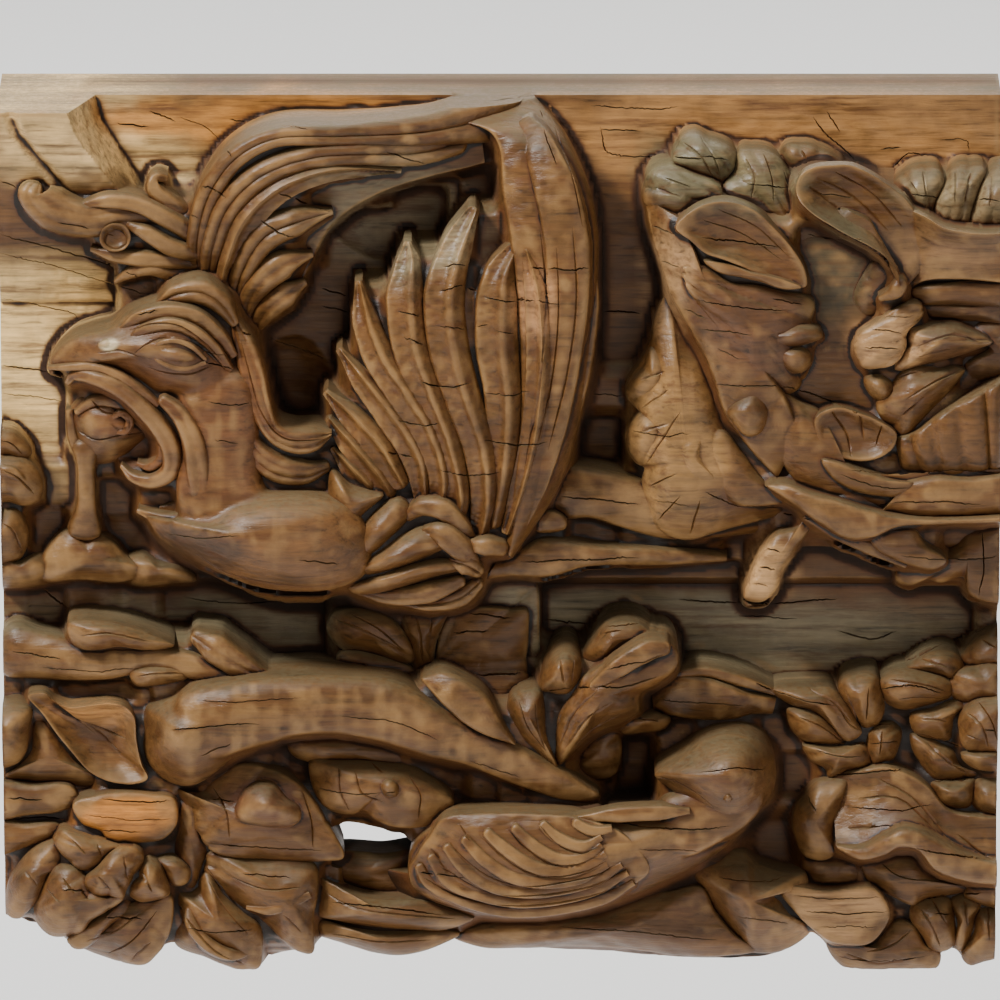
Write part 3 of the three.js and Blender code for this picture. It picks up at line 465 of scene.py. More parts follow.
# The far wing arches over the ground; its feathers hang down to the left.
farWing = {
    "body": {"base": [(228, 335, 14), (292, 300, 22), (335, 226, 24), (385, 194, 26), (485, 165, 20)],
        "rim": [(204, 292, 16), (210, 215, 30), (250, 165, 36), (330, 145, 36), (480, 128, 20)]},
    "rimFeather": {"path": [(199, 284, 24), (199, 240, 36), (212, 196, 42), (238, 162, 46), (275, 143, 47),
        (345, 140, 45), (430, 135, 36), (500, 118, 24), (532, 106, 12)],
        "width": [16, 22, 24, 22, 20, 22, 34, 56, 60], "crown": 0.55, "style": "locks", "ribs": 2},
    "secondFeather": {"path": [(208, 294, 22), (214, 250, 37), (231, 209, 43), (264, 179, 46), (312, 162, 46),
        (362, 158, 44), (420, 156, 36), (470, 143, 26)], "width": [14, 26, 30, 28, 26, 26, 30, 26],
        "style": "locks", "ribs": 2},
    "thirdFeather": {"path": [(221, 306, 22), (231, 266, 36), (250, 224, 43), (282, 194, 45), (325, 177, 44),
        (366, 173, 40), (402, 173, 32)], "width": [14, 24, 30, 26, 22, 16, 6], "style": "feather"},
    "fourthFeather": {"path": [(233, 314, 22), (243, 274, 35), (266, 240, 42), (298, 225, 42), (334, 214, 36)],
        "width": [14, 28, 34, 32, 5], "style": "locks", "ribs": 2},
    "fifthFeather": {"path": [(241, 326, 20), (256, 292, 34), (284, 268, 39), (314, 256, 33)],
        "width": [14, 28, 32, 6], "style": "locks", "ribs": 2},
    "sixthFeather": {"path": [(250, 336, 16), (268, 312, 30), (288, 296, 34), (307, 283, 29)],
        "width": [14, 28, 28, 8], "style": "locks", "ribs": 2},
}

# Skull, neck and breast flow into one another.
phoenixBody = {
    "skull": {"outline": [(50, 369, 34), (56, 354, 37), (73, 340, 41), (93, 334, 44), (112, 330, 46),
        (126, 318, 46), (146, 308, 48), (168, 302, 50), (191, 305, 50), (213, 316, 48), (230, 336, 44),
        (241, 362, 42), (244, 390, 42), (232, 408, 42), (208, 412, 42), (180, 404, 42), (158, 396, 42),
        (138, 383, 42), (118, 372, 42), (93, 366, 40), (68, 368, 37)],
        "centre": (172, 352, 62), "k": 1.6},
    "neck": {"path": [(204, 378, 56), (218, 412, 55), (220, 450, 54), (220, 490, 55), (232, 540, 60)],
        "width": [92, 86, 80, 88, 120], "crown": 0.6},
    "breast": {"outline": [(146, 515, 38), (158, 536, 40), (180, 553, 42), (213, 570, 46), (253, 586, 48),
        (295, 592, 50), (337, 589, 50), (366, 574, 48), (372, 540, 50), (352, 508, 52), (318, 496, 52),
        (280, 494, 52), (250, 496, 50), (220, 500, 46), (196, 512, 42), (168, 517, 38)],
        "centre": (272, 540, 70), "k": 2.4},
}
phoenixHead = {
    "combRidge": {"path": [(160, 306, 46), (178, 297, 50), (202, 295, 52), (222, 306, 50), (238, 328, 46)],
        "width": [8, 22, 28, 24, 10], "thick": 26, "style": "locks", "ribs": 2},
    "beakLip": {"path": [(49, 369, 38), (67, 369, 44), (93, 368, 48), (118, 376, 50), (138, 389, 51),
        (160, 406, 50)], "width": [4, 8, 10, 10, 10, 7], "thick": 18, "crown": 0.9},
    "upperBrow": {"path": [(122, 332, 48), (140, 320, 54), (168, 314, 57.5), (196, 318, 57), (220, 336, 54),
        (236, 358, 48)], "width": [6, 13, 15, 15, 13, 8], "thick": 14, "crown": 0.45},
    "lowerBrow": {"path": [(128, 344, 51), (146, 332, 57.5), (172, 326, 61), (196, 334, 60.5), (216, 350, 56),
        (232, 372, 49)], "width": [5, 11, 13, 13, 11, 7], "thick": 14, "crown": 0.45},
    "upperLid": {"path": [(150, 353, 57), (160, 346, 61), (175, 342, 63), (192, 347, 62), (208, 361, 58)],
        "width": [3, 5, 6, 6, 4], "thick": 10, "crown": 1.0},
    "lowerLid": {"path": [(150, 353, 57), (164, 364, 60), (184, 370, 60), (208, 364, 58)],
        "width": [3, 5, 6, 4], "thick": 10, "crown": 1.0},
    "eye": {"outline": [(156, 353), (163, 348), (176, 346), (189, 350), (199, 359), (190, 364), (178, 365),
        (165, 360)], "rim": 59, "centre": (177, 355, 63.5), "thick": 12, "k": 2},
    "nostril": {"outline": [(99, 346), (106, 340), (116, 341), (121, 347), (113, 352), (103, 351)],
        "rim": 50, "centre": (110, 346, 52.6), "thick": 12},
    "lowerBeak": {"path": [(68, 385, 38), (76, 378, 44), (93, 379, 49), (118, 389, 52), (143, 409, 53),
        (163, 432, 52), (173, 455, 51), (170, 474, 48), (152, 483, 44), (133, 478, 40), (121, 466, 35)],
        "width": [6, 13, 16, 18, 19, 21, 21, 19, 16, 11, 4], "thick": 30, "style": "locks", "ribs": 2},
    "innerHook": {"path": [(153, 430, 40), (163, 444, 43), (162, 460, 43), (150, 468, 41), (137, 464, 36)],
        "width": [5, 9, 10, 9, 4], "thick": 20},
    "wattle": {"path": [(160, 398, 52), (182, 418, 56), (195, 444, 57), (199, 470, 56), (201, 496, 54),
        (197, 514, 50), (180, 522, 45), (158, 519, 41), (137, 511, 34)],
        "width": [12, 20, 24, 26, 24, 20, 17, 15, 5], "thick": 34, "style": "locks", "ribs": 2},
    "wattleLeaf": {"path": [(186, 480, 36), (192, 492, 38), (180, 506, 38), (160, 509, 34)],
        "width": [8, 14, 14, 6], "thick": 24},
    "upperMane": {"base": [(232, 328, 42), (238, 370, 46), (245, 398, 48), (258, 428, 49), (274, 447, 48),
        (298, 456, 46), (318, 452, 43), (332, 437, 38)],
        "rim": [(240, 318, 40), (256, 343, 46), (266, 370, 49), (272, 399, 50), (280, 424, 49),
        (295, 430, 47), (314, 430, 44), (332, 431, 38)], "thick": 34, "ribs": 3, "bulge": 2},
    "lowerMane": {"path": [(238, 404, 46), (244, 436, 49), (260, 459, 49), (282, 472, 48), (306, 474, 45),
        (332, 466, 38)], "width": [14, 24, 28, 30, 28, 10], "thick": 34, "style": "locks", "ribs": 3},
}

# A bud on its stem fills the corner under the beak, with a flower at the end of the beam.
budAndFlower = {
    "bud": {"outline": [(69, 413), (81, 397), (112, 390), (132, 403), (149, 420), (154, 430), (140, 443),
        (118, 460), (95, 463), (76, 446)], "rim": [22, 26, 26, 22], "centre": (110, 426, 37), "k": 2},
    "budFold": {"path": [(76, 414, 30), (96, 402, 35), (118, 404, 37), (136, 416, 35), (148, 430, 29)],
        "width": [6, 12, 13, 12, 5], "thick": 14},
    "budCurl": {"path": [(112, 420, 36), (122, 414, 38), (131, 421, 38), (126, 432, 37), (112, 431, 35)],
        "width": [5, 8, 9, 8, 5], "thick": 12},
    "stem": {"path": [(86, 440, 30), (86, 470, 28), (86, 506, 26), (82, 546, 20)], "width": [36, 18, 19, 40]},
    "stemCurl": {"path": [(70, 410, 26), (73, 438, 27), (84, 466, 25)], "width": [8, 11, 10]},
    "middleClump": {"outline": [(38, 562), (52, 540), (66, 530), (82, 536), (95, 532), (112, 541), (126, 556),
        (150, 570), (122, 582), (80, 580), (40, 580)], "rim": 14, "centre": (90, 560, 22)},
    "rightClump": {"outline": [(120, 560), (140, 553), (158, 560), (184, 566), (196, 580), (170, 584),
        (130, 584)], "rim": 10, "centre": (156, 571, 20)},
    "leftClump": {"outline": [(-12, 556), (16, 558), (40, 552), (56, 566), (48, 582), (-12, 584)],
        "rim": 10, "centre": (20, 568, 20)},
    "firstPetal": {"outline": [(-12, 426), (2, 427), (15, 430), (26, 441), (32, 452), (24, 461), (8, 458),
        (-12, 457)], "rim": 18, "centre": (4, 444, 26)},
    "secondPetal": {"outline": [(-12, 455), (4, 453), (23, 457), (37, 469), (43, 486), (39, 500), (24, 506),
        (8, 502), (-12, 502)], "rim": [20, 22, 20], "centre": (8, 480, 30)},
    "thirdPetal": {"outline": [(-12, 503), (2, 508), (15, 508), (26, 524), (26, 546), (18, 560), (2, 565),
        (-12, 565)], "rim": 17, "centre": (2, 536, 27)},
    "petalFold": {"path": [(-8, 470, 28), (12, 474, 31), (28, 486, 27)], "width": [10, 14, 6]},
}

# The near wing: a plate with nine overlapping feathers, and the arm that carries them.
nearWing = {
    "plate": {"outline": [(336, 480), (338, 440), (349, 402), (364, 362), (380, 322), (392, 313), (408, 330),
        (428, 334), (446, 310), (470, 290), (488, 280), (512, 286), (530, 300), (532, 420), (518, 530),
        (470, 560), (400, 540), (352, 500)], "rim": [26, 28, 34, 36, 42, 42, 40, 34], "centre": (450, 430, 42)},
    "arm": {"base": [(430, 118, 20), (492, 138, 34), (502, 196, 44), (510, 245, 50), (516, 300, 52),
        (520, 360, 53), (520, 420, 53), (514, 480, 51), (506, 548, 42)],
        "rim": [(534, 98, 6), (566, 142, 26), (590, 196, 34), (598, 240, 38), (596, 300, 40), (589, 372, 40),
        (576, 440, 38), (556, 494, 36), (514, 556, 34)], "bulge": 9},
    "armRidge": {"path": [(520, 120, 28), (538, 150, 44), (556, 196, 54), (566, 245, 58), (567, 300, 59),
        (561, 360, 58), (551, 420, 56), (535, 480, 53), (514, 540, 46)],
        "width": [20, 34, 44, 46, 44, 40, 36, 30, 14], "crown": 0.35, "thick": 30},
    "innerBand": {"path": [(524, 250, 54), (534, 290, 59), (538, 340, 60), (537, 390, 59), (531, 440, 57),
        (519, 490, 54), (505, 536, 48)], "width": [10, 22, 26, 26, 24, 20, 10], "thick": 26,
        "style": "feather"},
    "outerBand": {"path": [(594, 262, 36), (592, 310, 42), (583, 370, 43), (568, 430, 42), (548, 488, 42),
        (522, 534, 40), (508, 556, 40)], "width": [4, 14, 17, 17, 17, 13, 9], "thick": 26},
    "feather1": {"path": [(516, 246, 48), (501, 276, 55), (497, 304, 58), (497, 350, 58), (503, 402, 57),
        (500, 470, 54), (489, 532, 47)], "width": [12, 32, 42, 44, 38, 34, 24], "thick": 30,
        "style": "feather"},
    "feather2": {"path": [(476, 208, 42), (458, 249, 49), (445, 298, 55), (448, 347, 57), (461, 396, 57),
        (479, 450, 55), (484, 500, 52), (478, 540, 46)], "width": [12, 32, 42, 42, 38, 34, 28, 20],
        "thick": 30, "style": "feather"},
    "feather3": {"path": [(408, 243, 40), (409, 262, 45), (406, 300, 51), (411, 350, 54), (427, 396, 55),
        (447, 448, 54), (458, 500, 51), (452, 530, 46)], "width": [8, 26, 40, 38, 34, 30, 24, 18],
        "thick": 28, "style": "feather"},
    "feather4": {"path": [(359, 282, 36), (366, 323, 44), (379, 358, 49), (403, 396, 52), (427, 434, 52),
        (441, 480, 50), (436, 516, 46)], "width": [8, 28, 34, 34, 32, 26, 18], "thick": 28,
        "style": "feather"},
    "feather5": {"path": [(339, 349, 34), (364, 384, 43), (392, 420, 48), (416, 460, 48), (424, 504, 45)],
        "width": [8, 26, 32, 30, 18], "thick": 26, "style": "feather"},
    "feather6": {"path": [(325, 392, 32), (348, 415, 40), (378, 448, 45), (404, 490, 45)],
        "width": [8, 25, 30, 18], "thick": 26, "style": "feather"},
    "feather7": {"path": [(328, 418, 33), (348, 444, 40), (374, 474, 43), (392, 500, 43)],
        "width": [8, 24, 26, 18], "thick": 24, "style": "feather"},
    "feather8": {"path": [(332, 448, 34), (350, 470, 40), (372, 492, 42)], "width": [6, 22, 16],
        "thick": 24, "style": "feather"},
}

# The short feathers where wing and breast meet.
coverts = {
    "topLeaf": {"outline": [(332, 470), (352, 484), (373, 491), (384, 495), (362, 516), (349, 540), (340, 540),
        (330, 512)], "rim": [40, 42, 48, 48, 44], "centre": (352, 506, 53), "foot": 10},
    "secondLeaf": {"outline": [(349, 552), (358, 530), (378, 508), (400, 498), (412, 511), (395, 534),
        (374, 553), (356, 562)], "rim": [44, 46, 48], "centre": (382, 530, 56), "foot": 10},
    "thirdLeaf": {"outline": [(355, 571), (378, 550), (406, 532), (434, 525), (458, 540), (428, 557),
        (394, 571), (366, 575)], "rim": [44, 48, 50, 44], "centre": (408, 552, 59), "foot": 10},
    "upperRidge": {"path": [(404, 520, 48), (424, 509, 54), (444, 512, 57), (462, 528, 54), (474, 542, 48)],
        "width": [10, 20, 22, 18, 8], "thick": 26},
    "crossLeaf": {"path": [(420, 532, 52), (442, 536, 59), (464, 553, 56), (478, 566, 48)],
        "width": [10, 26, 26, 10], "thick": 30, "style": "leaf"},
    "fourthLeaf": {"outline": [(348, 588), (378, 573), (420, 559), (456, 556), (470, 566), (434, 577),
        (406, 586), (378, 594), (356, 594)], "rim": [40, 44, 46, 42], "centre": (412, 573, 55), "foot": 10},
    "fifthLeaf": {"path": [(352, 590, 38), (392, 598, 46), (430, 594, 49), (466, 580, 46)],
        "width": [8, 18, 22, 12], "thick": 36, "style": "leaf"},
    "lowestLeaf": {"path": [(398, 602, 38), (432, 605, 44), (462, 598, 44), (482, 580, 42)],
        "width": [8, 16, 20, 12], "thick": 34, "style": "leaf"},
    "rightLeaf": {"path": [(446, 560, 48), (466, 566, 53), (484, 576, 46)], "width": [14, 24, 14],
        "thick": 34, "style": "leaf"},
    "knuckle": {"path": [(462, 546, 50), (486, 548, 57), (510, 551, 50)], "width": [12, 20, 16],
        "thick": 34},
}

# Stems that run from the wing towards the peony.
stems = {
    "branch": {"base": [(540, 482, 22), (562, 467, 28), (606, 472, 31), (650, 482, 28), (700, 500, 24),
        (768, 512, 12)], "rim": [(540, 518, 22), (566, 520, 28), (590, 519, 31), (620, 528, 28),
        (668, 540, 24), (760, 534, 12)], "bulge": 5},
    "rawStub": {"outline": [(538, 515), (552, 510), (566, 518), (566, 528), (550, 533), (536, 531)],
        "rim": 34, "centre": (551, 522, 36), "k": 3},
    "blade": {"base": [(498, 560, 32), (514, 552, 34), (542, 540, 37), (603, 546, 33), (667, 548, 26),
        (728, 553, 13)], "rim": [(482, 581, 28), (510, 577, 33), (548, 578, 36), (590, 567, 34),
        (660, 566, 26), (727, 562, 13)], "bulge": 3},
}

# A broad lobed leaf shows to the left of the peony.
peonyLeaf = {
    "blade": {"outline": [(667, 295, 22), (654, 318, 24), (649, 344, 26), (639, 364, 26), (628, 380, 24),
        (625, 394, 24), (632, 404, 26), (642, 409, 30), (632, 420, 28), (625, 435, 26), (628, 451, 26),
        (637, 464, 28), (644, 467, 30), (641, 484, 30), (646, 507, 30), (655, 526, 30), (672, 537, 30),
        (692, 540, 30), (712, 534, 30), (732, 528, 28), (763, 520, 26), (795, 512, 24), (784, 498, 28),
        (769, 482, 30), (750, 461, 32), (734, 435, 34), (722, 412, 34), (714, 388, 34), (698, 357, 32),
        (685, 334, 28), (675, 312, 24)], "centre": (688, 462, 45), "k": 2.6},
    "crescent": {"outline": [(676, 436), (690, 430), (703, 433), (704, 450), (710, 468), (724, 488), (700, 489),
        (684, 476), (676, 456)], "rim": 41, "centre": (692, 458, 47), "thick": 14, "k": 2},
    "innerFold": {"outline": [(704, 434), (722, 430), (742, 452), (762, 478), (790, 500), (764, 506),
        (734, 504), (714, 484), (706, 458)], "rim": 40, "centre": (732, 474, 45), "thick": 14, "k": 2.4},
    "upperLobe": {"outline": [(651, 346), (642, 366), (629, 381), (626, 394), (640, 407), (662, 398),
        (672, 380), (672, 356)], "rim": 28, "centre": (652, 378, 38), "k": 2},
    "middleLobe": {"outline": [(642, 410), (630, 424), (627, 440), (632, 456), (644, 465), (664, 454),
        (672, 430), (664, 412)], "rim": 32, "centre": (650, 434, 42), "k": 2},
}

# The peony: petals round a broken heart, with a deep rolled wall on the left and a bowl below.
peony = {
    "bed": {"outline": [(676, 250), (720, 210), (800, 210), (900, 215), (1012, 220), (1012, 530), (900, 540),
        (840, 500), (770, 440), (720, 370), (690, 310)], "rim": 30, "centre": (880, 380, 40), "k": 3},
    "squarePetal": {"outline": [(683, 137), (694, 135), (708, 141), (735, 154), (734, 168), (720, 184),
        (694, 176), (672, 164), (675, 147)], "rim": [24, 26, 30, 32], "centre": (704, 160, 37), "fan": (742, 196, 9)},
    "leftPetal": {"outline": [(668, 166), (694, 176), (720, 188), (718, 203), (696, 210), (680, 224),
        (655, 212), (643, 205), (642, 188), (650, 173)], "rim": [34, 42, 40, 34], "centre": (684, 193, 44), "fan": (738, 214, 10)},
    "topPetal": {"outline": [(738, 152), (756, 151), (776, 158), (788, 172), (794, 191), (798, 208), (802, 226),
        (782, 220), (756, 212), (728, 206), (719, 198), (722, 186), (733, 171)], "rim": [26, 30, 36, 34],
        "centre": (760, 182, 37), "k": 1.6, "fan": (800, 246, 11)},
    "smallPetal": {"outline": [(776, 156), (785, 147), (802, 146), (822, 152), (843, 166), (822, 171),
        (802, 174), (792, 182), (786, 172)], "rim": [18, 22, 24], "centre": (806, 161, 26), "fan": (800, 200, 8)},
    "leftWall": {"base": [(642, 198, 32), (649, 234, 38), (659, 266, 42), (669, 297, 44), (690, 334, 46),
        (710, 374, 48), (722, 412, 48), (742, 442, 45), (776, 480, 42)],
        "rim": [(680, 222, 50), (692, 250, 56), (703, 278, 58), (718, 304, 58), (735, 330, 57),
        (752, 354, 56), (768, 376, 54), (784, 398, 52), (800, 430, 47)], "bulge": 2, "scoops": 7,
        "scoopDepth": 1.3},
    "foldPetal": {"outline": [(674, 230), (686, 216), (700, 208), (716, 204), (735, 206), (754, 214),
        (772, 230), (790, 250), (803, 272), (804, 288), (784, 286), (763, 279), (740, 269), (720, 261),
        (704, 256), (690, 244)], "rim": [62, 60, 58, 56, 54, 60, 62], "centre": (742, 242, 52), "thick": 20,
        "k": 1.8, "lip": 0.5},
    "foldBlade": {"outline": [(702, 263), (724, 265), (746, 272), (776, 279), (800, 289), (782, 291),
        (759, 284), (737, 279), (716, 274)], "rim": 59, "centre": (752, 277, 61), "thick": 14},
    "lowerBody": {"outline": [(681, 269, 56), (698, 266, 56), (730, 284, 54), (756, 286, 54), (782, 292, 52),
        (802, 294, 50), (813, 303, 48), (812, 321, 48), (817, 337, 46), (811, 358, 44), (800, 388, 42),
        (776, 396, 44), (754, 390, 48), (743, 370, 52), (727, 344, 54), (707, 318, 55), (688, 295, 56)],
        "centre": (752, 330, 60), "k": 2, "fan": (630, 250, 22)},
    "upperKnob": {"outline": [(754, 340), (776, 330), (798, 325), (818, 330), (821, 338), (808, 344),
        (782, 349), (759, 347)], "rim": 52, "centre": (796, 337, 59), "thick": 22, "k": 2},
    "lowerKnob": {"outline": [(774, 352), (789, 346), (804, 349), (811, 359), (804, 371), (792, 374),
        (780, 366)], "rim": 50, "centre": (794, 359, 57), "thick": 26, "k": 2},
    "darkBoss": {"outline": [(726, 412), (743, 395), (755, 392), (765, 401), (768, 413), (760, 433),
        (746, 437), (732, 423)], "rim": 50, "centre": (748, 412, 57), "thick": 30, "k": 2},
    "trough": {"base": [(812, 250, 24), (850, 268, 34), (886, 300, 42), (866, 336, 42), (848, 366, 40)],
        "rim": [(806, 278, 24), (828, 302, 28), (836, 326, 30), (818, 352, 32), (798, 392, 34)], "bulge": -3},
    "curlPetal": {"outline": [(793, 189, 60), (799, 176, 60), (812, 170, 60), (831, 168, 58), (850, 169, 56),
        (868, 177, 56), (884, 187, 56), (900, 199, 54), (913, 215, 52), (926, 236, 48), (924, 262, 46),
        (908, 284, 50), (898, 291, 60), (894, 276, 70), (883, 261, 73), (866, 249, 74), (847, 240, 74),
        (828, 229, 72), (808, 216, 68), (796, 203, 63)], "centre": (860, 216, 51), "thick": 15,
        "k": 1.7, "lip": 0.6},
    "curlRoot": {"outline": [(905, 225), (930, 240), (928, 268), (914, 292), (895, 305), (868, 318),
        (852, 300), (866, 268), (885, 248)], "rim": 40, "centre": (895, 270, 48), "k": 2},
    "curlTip": {"path": [(900, 280, 62), (893, 294, 63), (876, 301, 56)], "width": [14, 16, 7], "thick": 18},
    "backPetal1": {"outline": [(890, 188), (901, 174), (919, 168), (936, 171), (942, 182), (934, 203),
        (924, 224), (906, 216)], "rim": [26, 28, 34, 34], "centre": (918, 194, 40), "fan": (928, 262, 12)},
    "backPetal2": {"outline": [(938, 184), (949, 170), (967, 166), (983, 171), (977, 190), (970, 210),
        (963, 232), (936, 232), (926, 214)], "rim": [28, 28, 36, 36], "centre": (954, 197, 42), "fan": (948, 262, 12)},
    "backPetal3": {"outline": [(972, 190), (984, 173), (1000, 168), (1014, 172), (1014, 238), (985, 236),
        (963, 230)], "rim": [30, 28, 36], "centre": (994, 203, 44), "fan": (990, 272, 12)},
    "rimPetal": {"base": [(906, 290, 44), (925, 283, 48), (958, 282, 50), (985, 284, 50), (1014, 286, 50)],
        "rim": [(906, 211, 52), (922, 219, 58), (940, 230, 61), (976, 236, 61), (1014, 234, 60)],
        "bulge": -3},
    "darkLayer1": {"outline": [(908, 292), (940, 284), (1014, 286), (1014, 304), (950, 306), (916, 304)],
        "rim": 44, "centre": (965, 295, 47)},
    "darkLayer2": {"outline": [(914, 306), (960, 304), (1014, 304), (1014, 322), (975, 322), (930, 320)],
        "rim": 40, "centre": (970, 312, 44)},
    "darkLayer3": {"outline": [(968, 324), (1014, 320), (1014, 384), (975, 384), (955, 370), (985, 344)],
        "rim": 36, "centre": (994, 354, 44)},
    "brokenPetal": {"outline": [(853, 339), (870, 325), (889, 311), (910, 302), (921, 309), (919, 320),
        (906, 332), (903, 352), (894, 364), (878, 370), (860, 368), (853, 355)], "rim": 54,
        "centre": (884, 338, 58), "thick": 28, "k": 3, "fan": (990, 300, 24)},
    "darkKnob": {"outline": [(862, 380), (876, 373), (892, 384), (894, 397), (882, 404), (868, 395)],
        "rim": 46, "centre": (878, 388, 54), "thick": 28, "k": 2},
    "upperPoint": {"outline": [(900, 333), (922, 325), (951, 323), (974, 333), (990, 343), (974, 351),
        (957, 357), (921, 366), (893, 371), (897, 354)], "rim": 49, "centre": (938, 343, 60), "thick": 36,
        "k": 1.6, "fan": (1010, 340, 11)},
    "lowerPoint": {"outline": [(884, 390), (906, 368), (936, 366), (963, 370), (952, 387), (938, 404),
        (919, 424), (902, 438), (884, 424), (874, 406)], "rim": 47, "centre": (914, 394, 58), "thick": 36,
        "k": 1.8, "fan": (980, 352, 10)},
    "roundPetal": {"outline": [(814, 418), (834, 408), (857, 413), (877, 421), (895, 434), (891, 449),
        (873, 460), (847, 460), (828, 450), (816, 436)], "rim": [52, 52, 54, 52], "centre": (853, 437, 46),
        "k": 2, "lip": 0.5},
    "veinedPetal": {"base": [(900, 470, 46), (925, 473, 50), (951, 476, 52), (984, 472, 52), (1000, 470, 50)],
        "rim": [(893, 438, 48), (912, 434, 54), (940, 414, 58), (977, 394, 58), (1000, 381, 55)],
        "bulge": 4, "scoops": 5, "scoopDepth": 3.0, "flat": True},
    "bowl": {"outline": [(758, 412), (778, 392), (800, 402), (822, 414), (826, 448), (846, 470), (900, 480),
        (960, 474), (1014, 472), (1014, 512), (940, 518), (880, 514), (830, 504), (796, 482), (774, 450)],
        "rim": [42, 44, 50, 50, 46], "centre": (850, 476, 52), "k": 3},
    "bowlBand": {"base": [(880, 512, 52), (912, 517, 54), (958, 518, 53), (1014, 513, 50)],
        "rim": [(905, 481, 54), (935, 477, 57), (965, 479, 57), (1014, 473, 54)], "bulge": 3, "foot": 20},
    "brokenRim": {"outline": [(820, 460), (834, 461), (860, 470), (893, 480), (915, 484), (899, 496),
        (870, 495), (846, 488), (830, 477)], "rim": 56, "centre": (866, 480, 59), "thick": 20, "k": 3},
    "outerRim": {"base": [(764, 486, 50), (795, 507, 57), (821, 526, 59), (847, 540, 59), (872, 538, 59),
        (895, 527, 58), (925, 525, 57), (1014, 522, 54)], "rim": [(770, 482, 50), (786, 484, 56),
        (808, 493, 60), (841, 502, 62), (870, 511, 62), (912, 518, 60), (958, 518, 58), (1014, 515, 55)],
        "bulge": 3, "thick": 24},
    "splinter": {"outline": [(868, 532), (886, 524), (912, 527), (924, 543), (946, 560), (934, 569),
        (902, 563), (873, 548)], "rim": 50, "centre": (902, 545, 54), "thick": 14, "k": 3},
    "underBlade": {"path": [(804, 516, 50), (836, 534, 51), (872, 550, 50), (906, 566, 46)],
        "width": [8, 14, 15, 6], "thick": 16},
    "brokenBlade": {"outline": [(809, 512), (796, 528), (777, 533), (763, 549), (750, 577), (744, 598),
        (762, 602), (777, 589), (784, 569), (797, 549), (813, 521)], "rim": 38, "centre": (773, 566, 43),
        "thick": 34, "k": 3},
    "lowerPetals": {"outline": [(896, 580), (902, 563), (930, 556), (950, 548), (970, 528), (1014, 520),
        (1014, 598), (986, 602), (968, 592), (964, 577), (942, 583), (926, 579), (912, 586)],
        "rim": [24, 28, 32, 28], "centre": (968, 558, 37), "k": 2.2},
}


# A frond comes in from the left end and lies over the bough.
frond = {
    "stem": {"path": [(-12, 650, 14), (40, 660, 20), (95, 666, 25), (150, 662, 28), (190, 668, 29),
        (232, 680, 30), (272, 687, 29), (320, 691, 26)], "width": [66, 48, 36, 26, 27, 22, 16, 8]},
    "upperBlade": {"outline": [(66, 624), (80, 620), (102, 621), (124, 625), (150, 634), (174, 646),
        (160, 650), (139, 650), (118, 647), (100, 650), (82, 650), (70, 642)], "rim": 29,
        "centre": (108, 636, 37), "k": 2},
    "lowerBlade": {"outline": [(128, 674), (142, 667), (162, 666), (182, 670), (187, 678), (170, 684),
        (150, 687), (134, 686)], "rim": 26, "centre": (156, 676, 33), "k": 2},
    "pointedLeaf": {"path": [(188, 634, 26), (212, 650, 35), (240, 668, 35), (268, 680, 31), (298, 690, 26)],
        "width": [14, 32, 28, 16, 5], "style": "leaf"},
    "underStem": {"path": [(118, 694, 8), (150, 690, 14), (186, 690, 14), (216, 688, 10)],
        "width": [10, 14, 14, 8]},
}

# The corner below the frond: raw and broken, with a hollow leaf.
lowerCorner = {
    "edgeCurl": {"outline": [(-12, 706), (2, 706), (17, 704), (30, 710), (27, 732), (24, 752), (14, 765),
        (-12, 768)], "rim": [20, 24, 22], "centre": (2, 734, 34), "k": 2},
    "sideLeaf": {"outline": [(27, 708), (42, 712), (56, 730), (68, 751), (82, 768), (110, 786), (54, 788),
        (-4, 780), (14, 766), (25, 750)], "rim": 13, "centre": (46, 758, 22), "k": 2},
    "hollowLeaf": {"outline": [(26, 697), (42, 694), (56, 704), (68, 708), (90, 706), (108, 704), (124, 708),
        (133, 719), (135, 742), (140, 766), (146, 780), (131, 786), (107, 783), (88, 774), (70, 754),
        (54, 734), (40, 714)], "rim": [29, 32, 30, 26], "centre": (96, 738, 17), "k": 2.2},
    "brokenTop": {"outline": [(70, 806), (94, 796), (121, 793), (150, 795), (172, 799), (176, 813),
        (174, 828), (161, 841), (134, 845), (107, 844), (98, 833), (80, 826)], "rim": 29,
        "centre": (124, 818, 32), "k": 4},
    "leftSlab": {"outline": [(-12, 785), (30, 786), (68, 787), (76, 804), (56, 814), (22, 818), (-12, 821)],
        "rim": 20, "centre": (26, 802, 23), "k": 3},
    "lowerSlab": {"outline": [(-12, 824), (24, 825), (54, 825), (60, 833), (32, 846), (-12, 857)],
        "rim": 18, "centre": (16, 838, 21), "k": 3},
    "backStem": {"outline": [(172, 794), (189, 789), (204, 820), (207, 848), (199, 870), (190, 894),
        (177, 890), (171, 862), (174, 822)], "rim": 16, "centre": (189, 842, 24), "k": 2},
    "bracket": {"outline": [(152, 862), (170, 858), (188, 872), (185, 886), (171, 889), (160, 877)],
        "rim": 24, "centre": (173, 873, 30), "k": 2},
    "leafUnderBulb": {"outline": [(98, 784), (150, 780), (176, 792), (190, 800), (176, 812), (150, 798),
        (110, 796)], "rim": 10, "centre": (150, 790, 16), "k": 2},
}

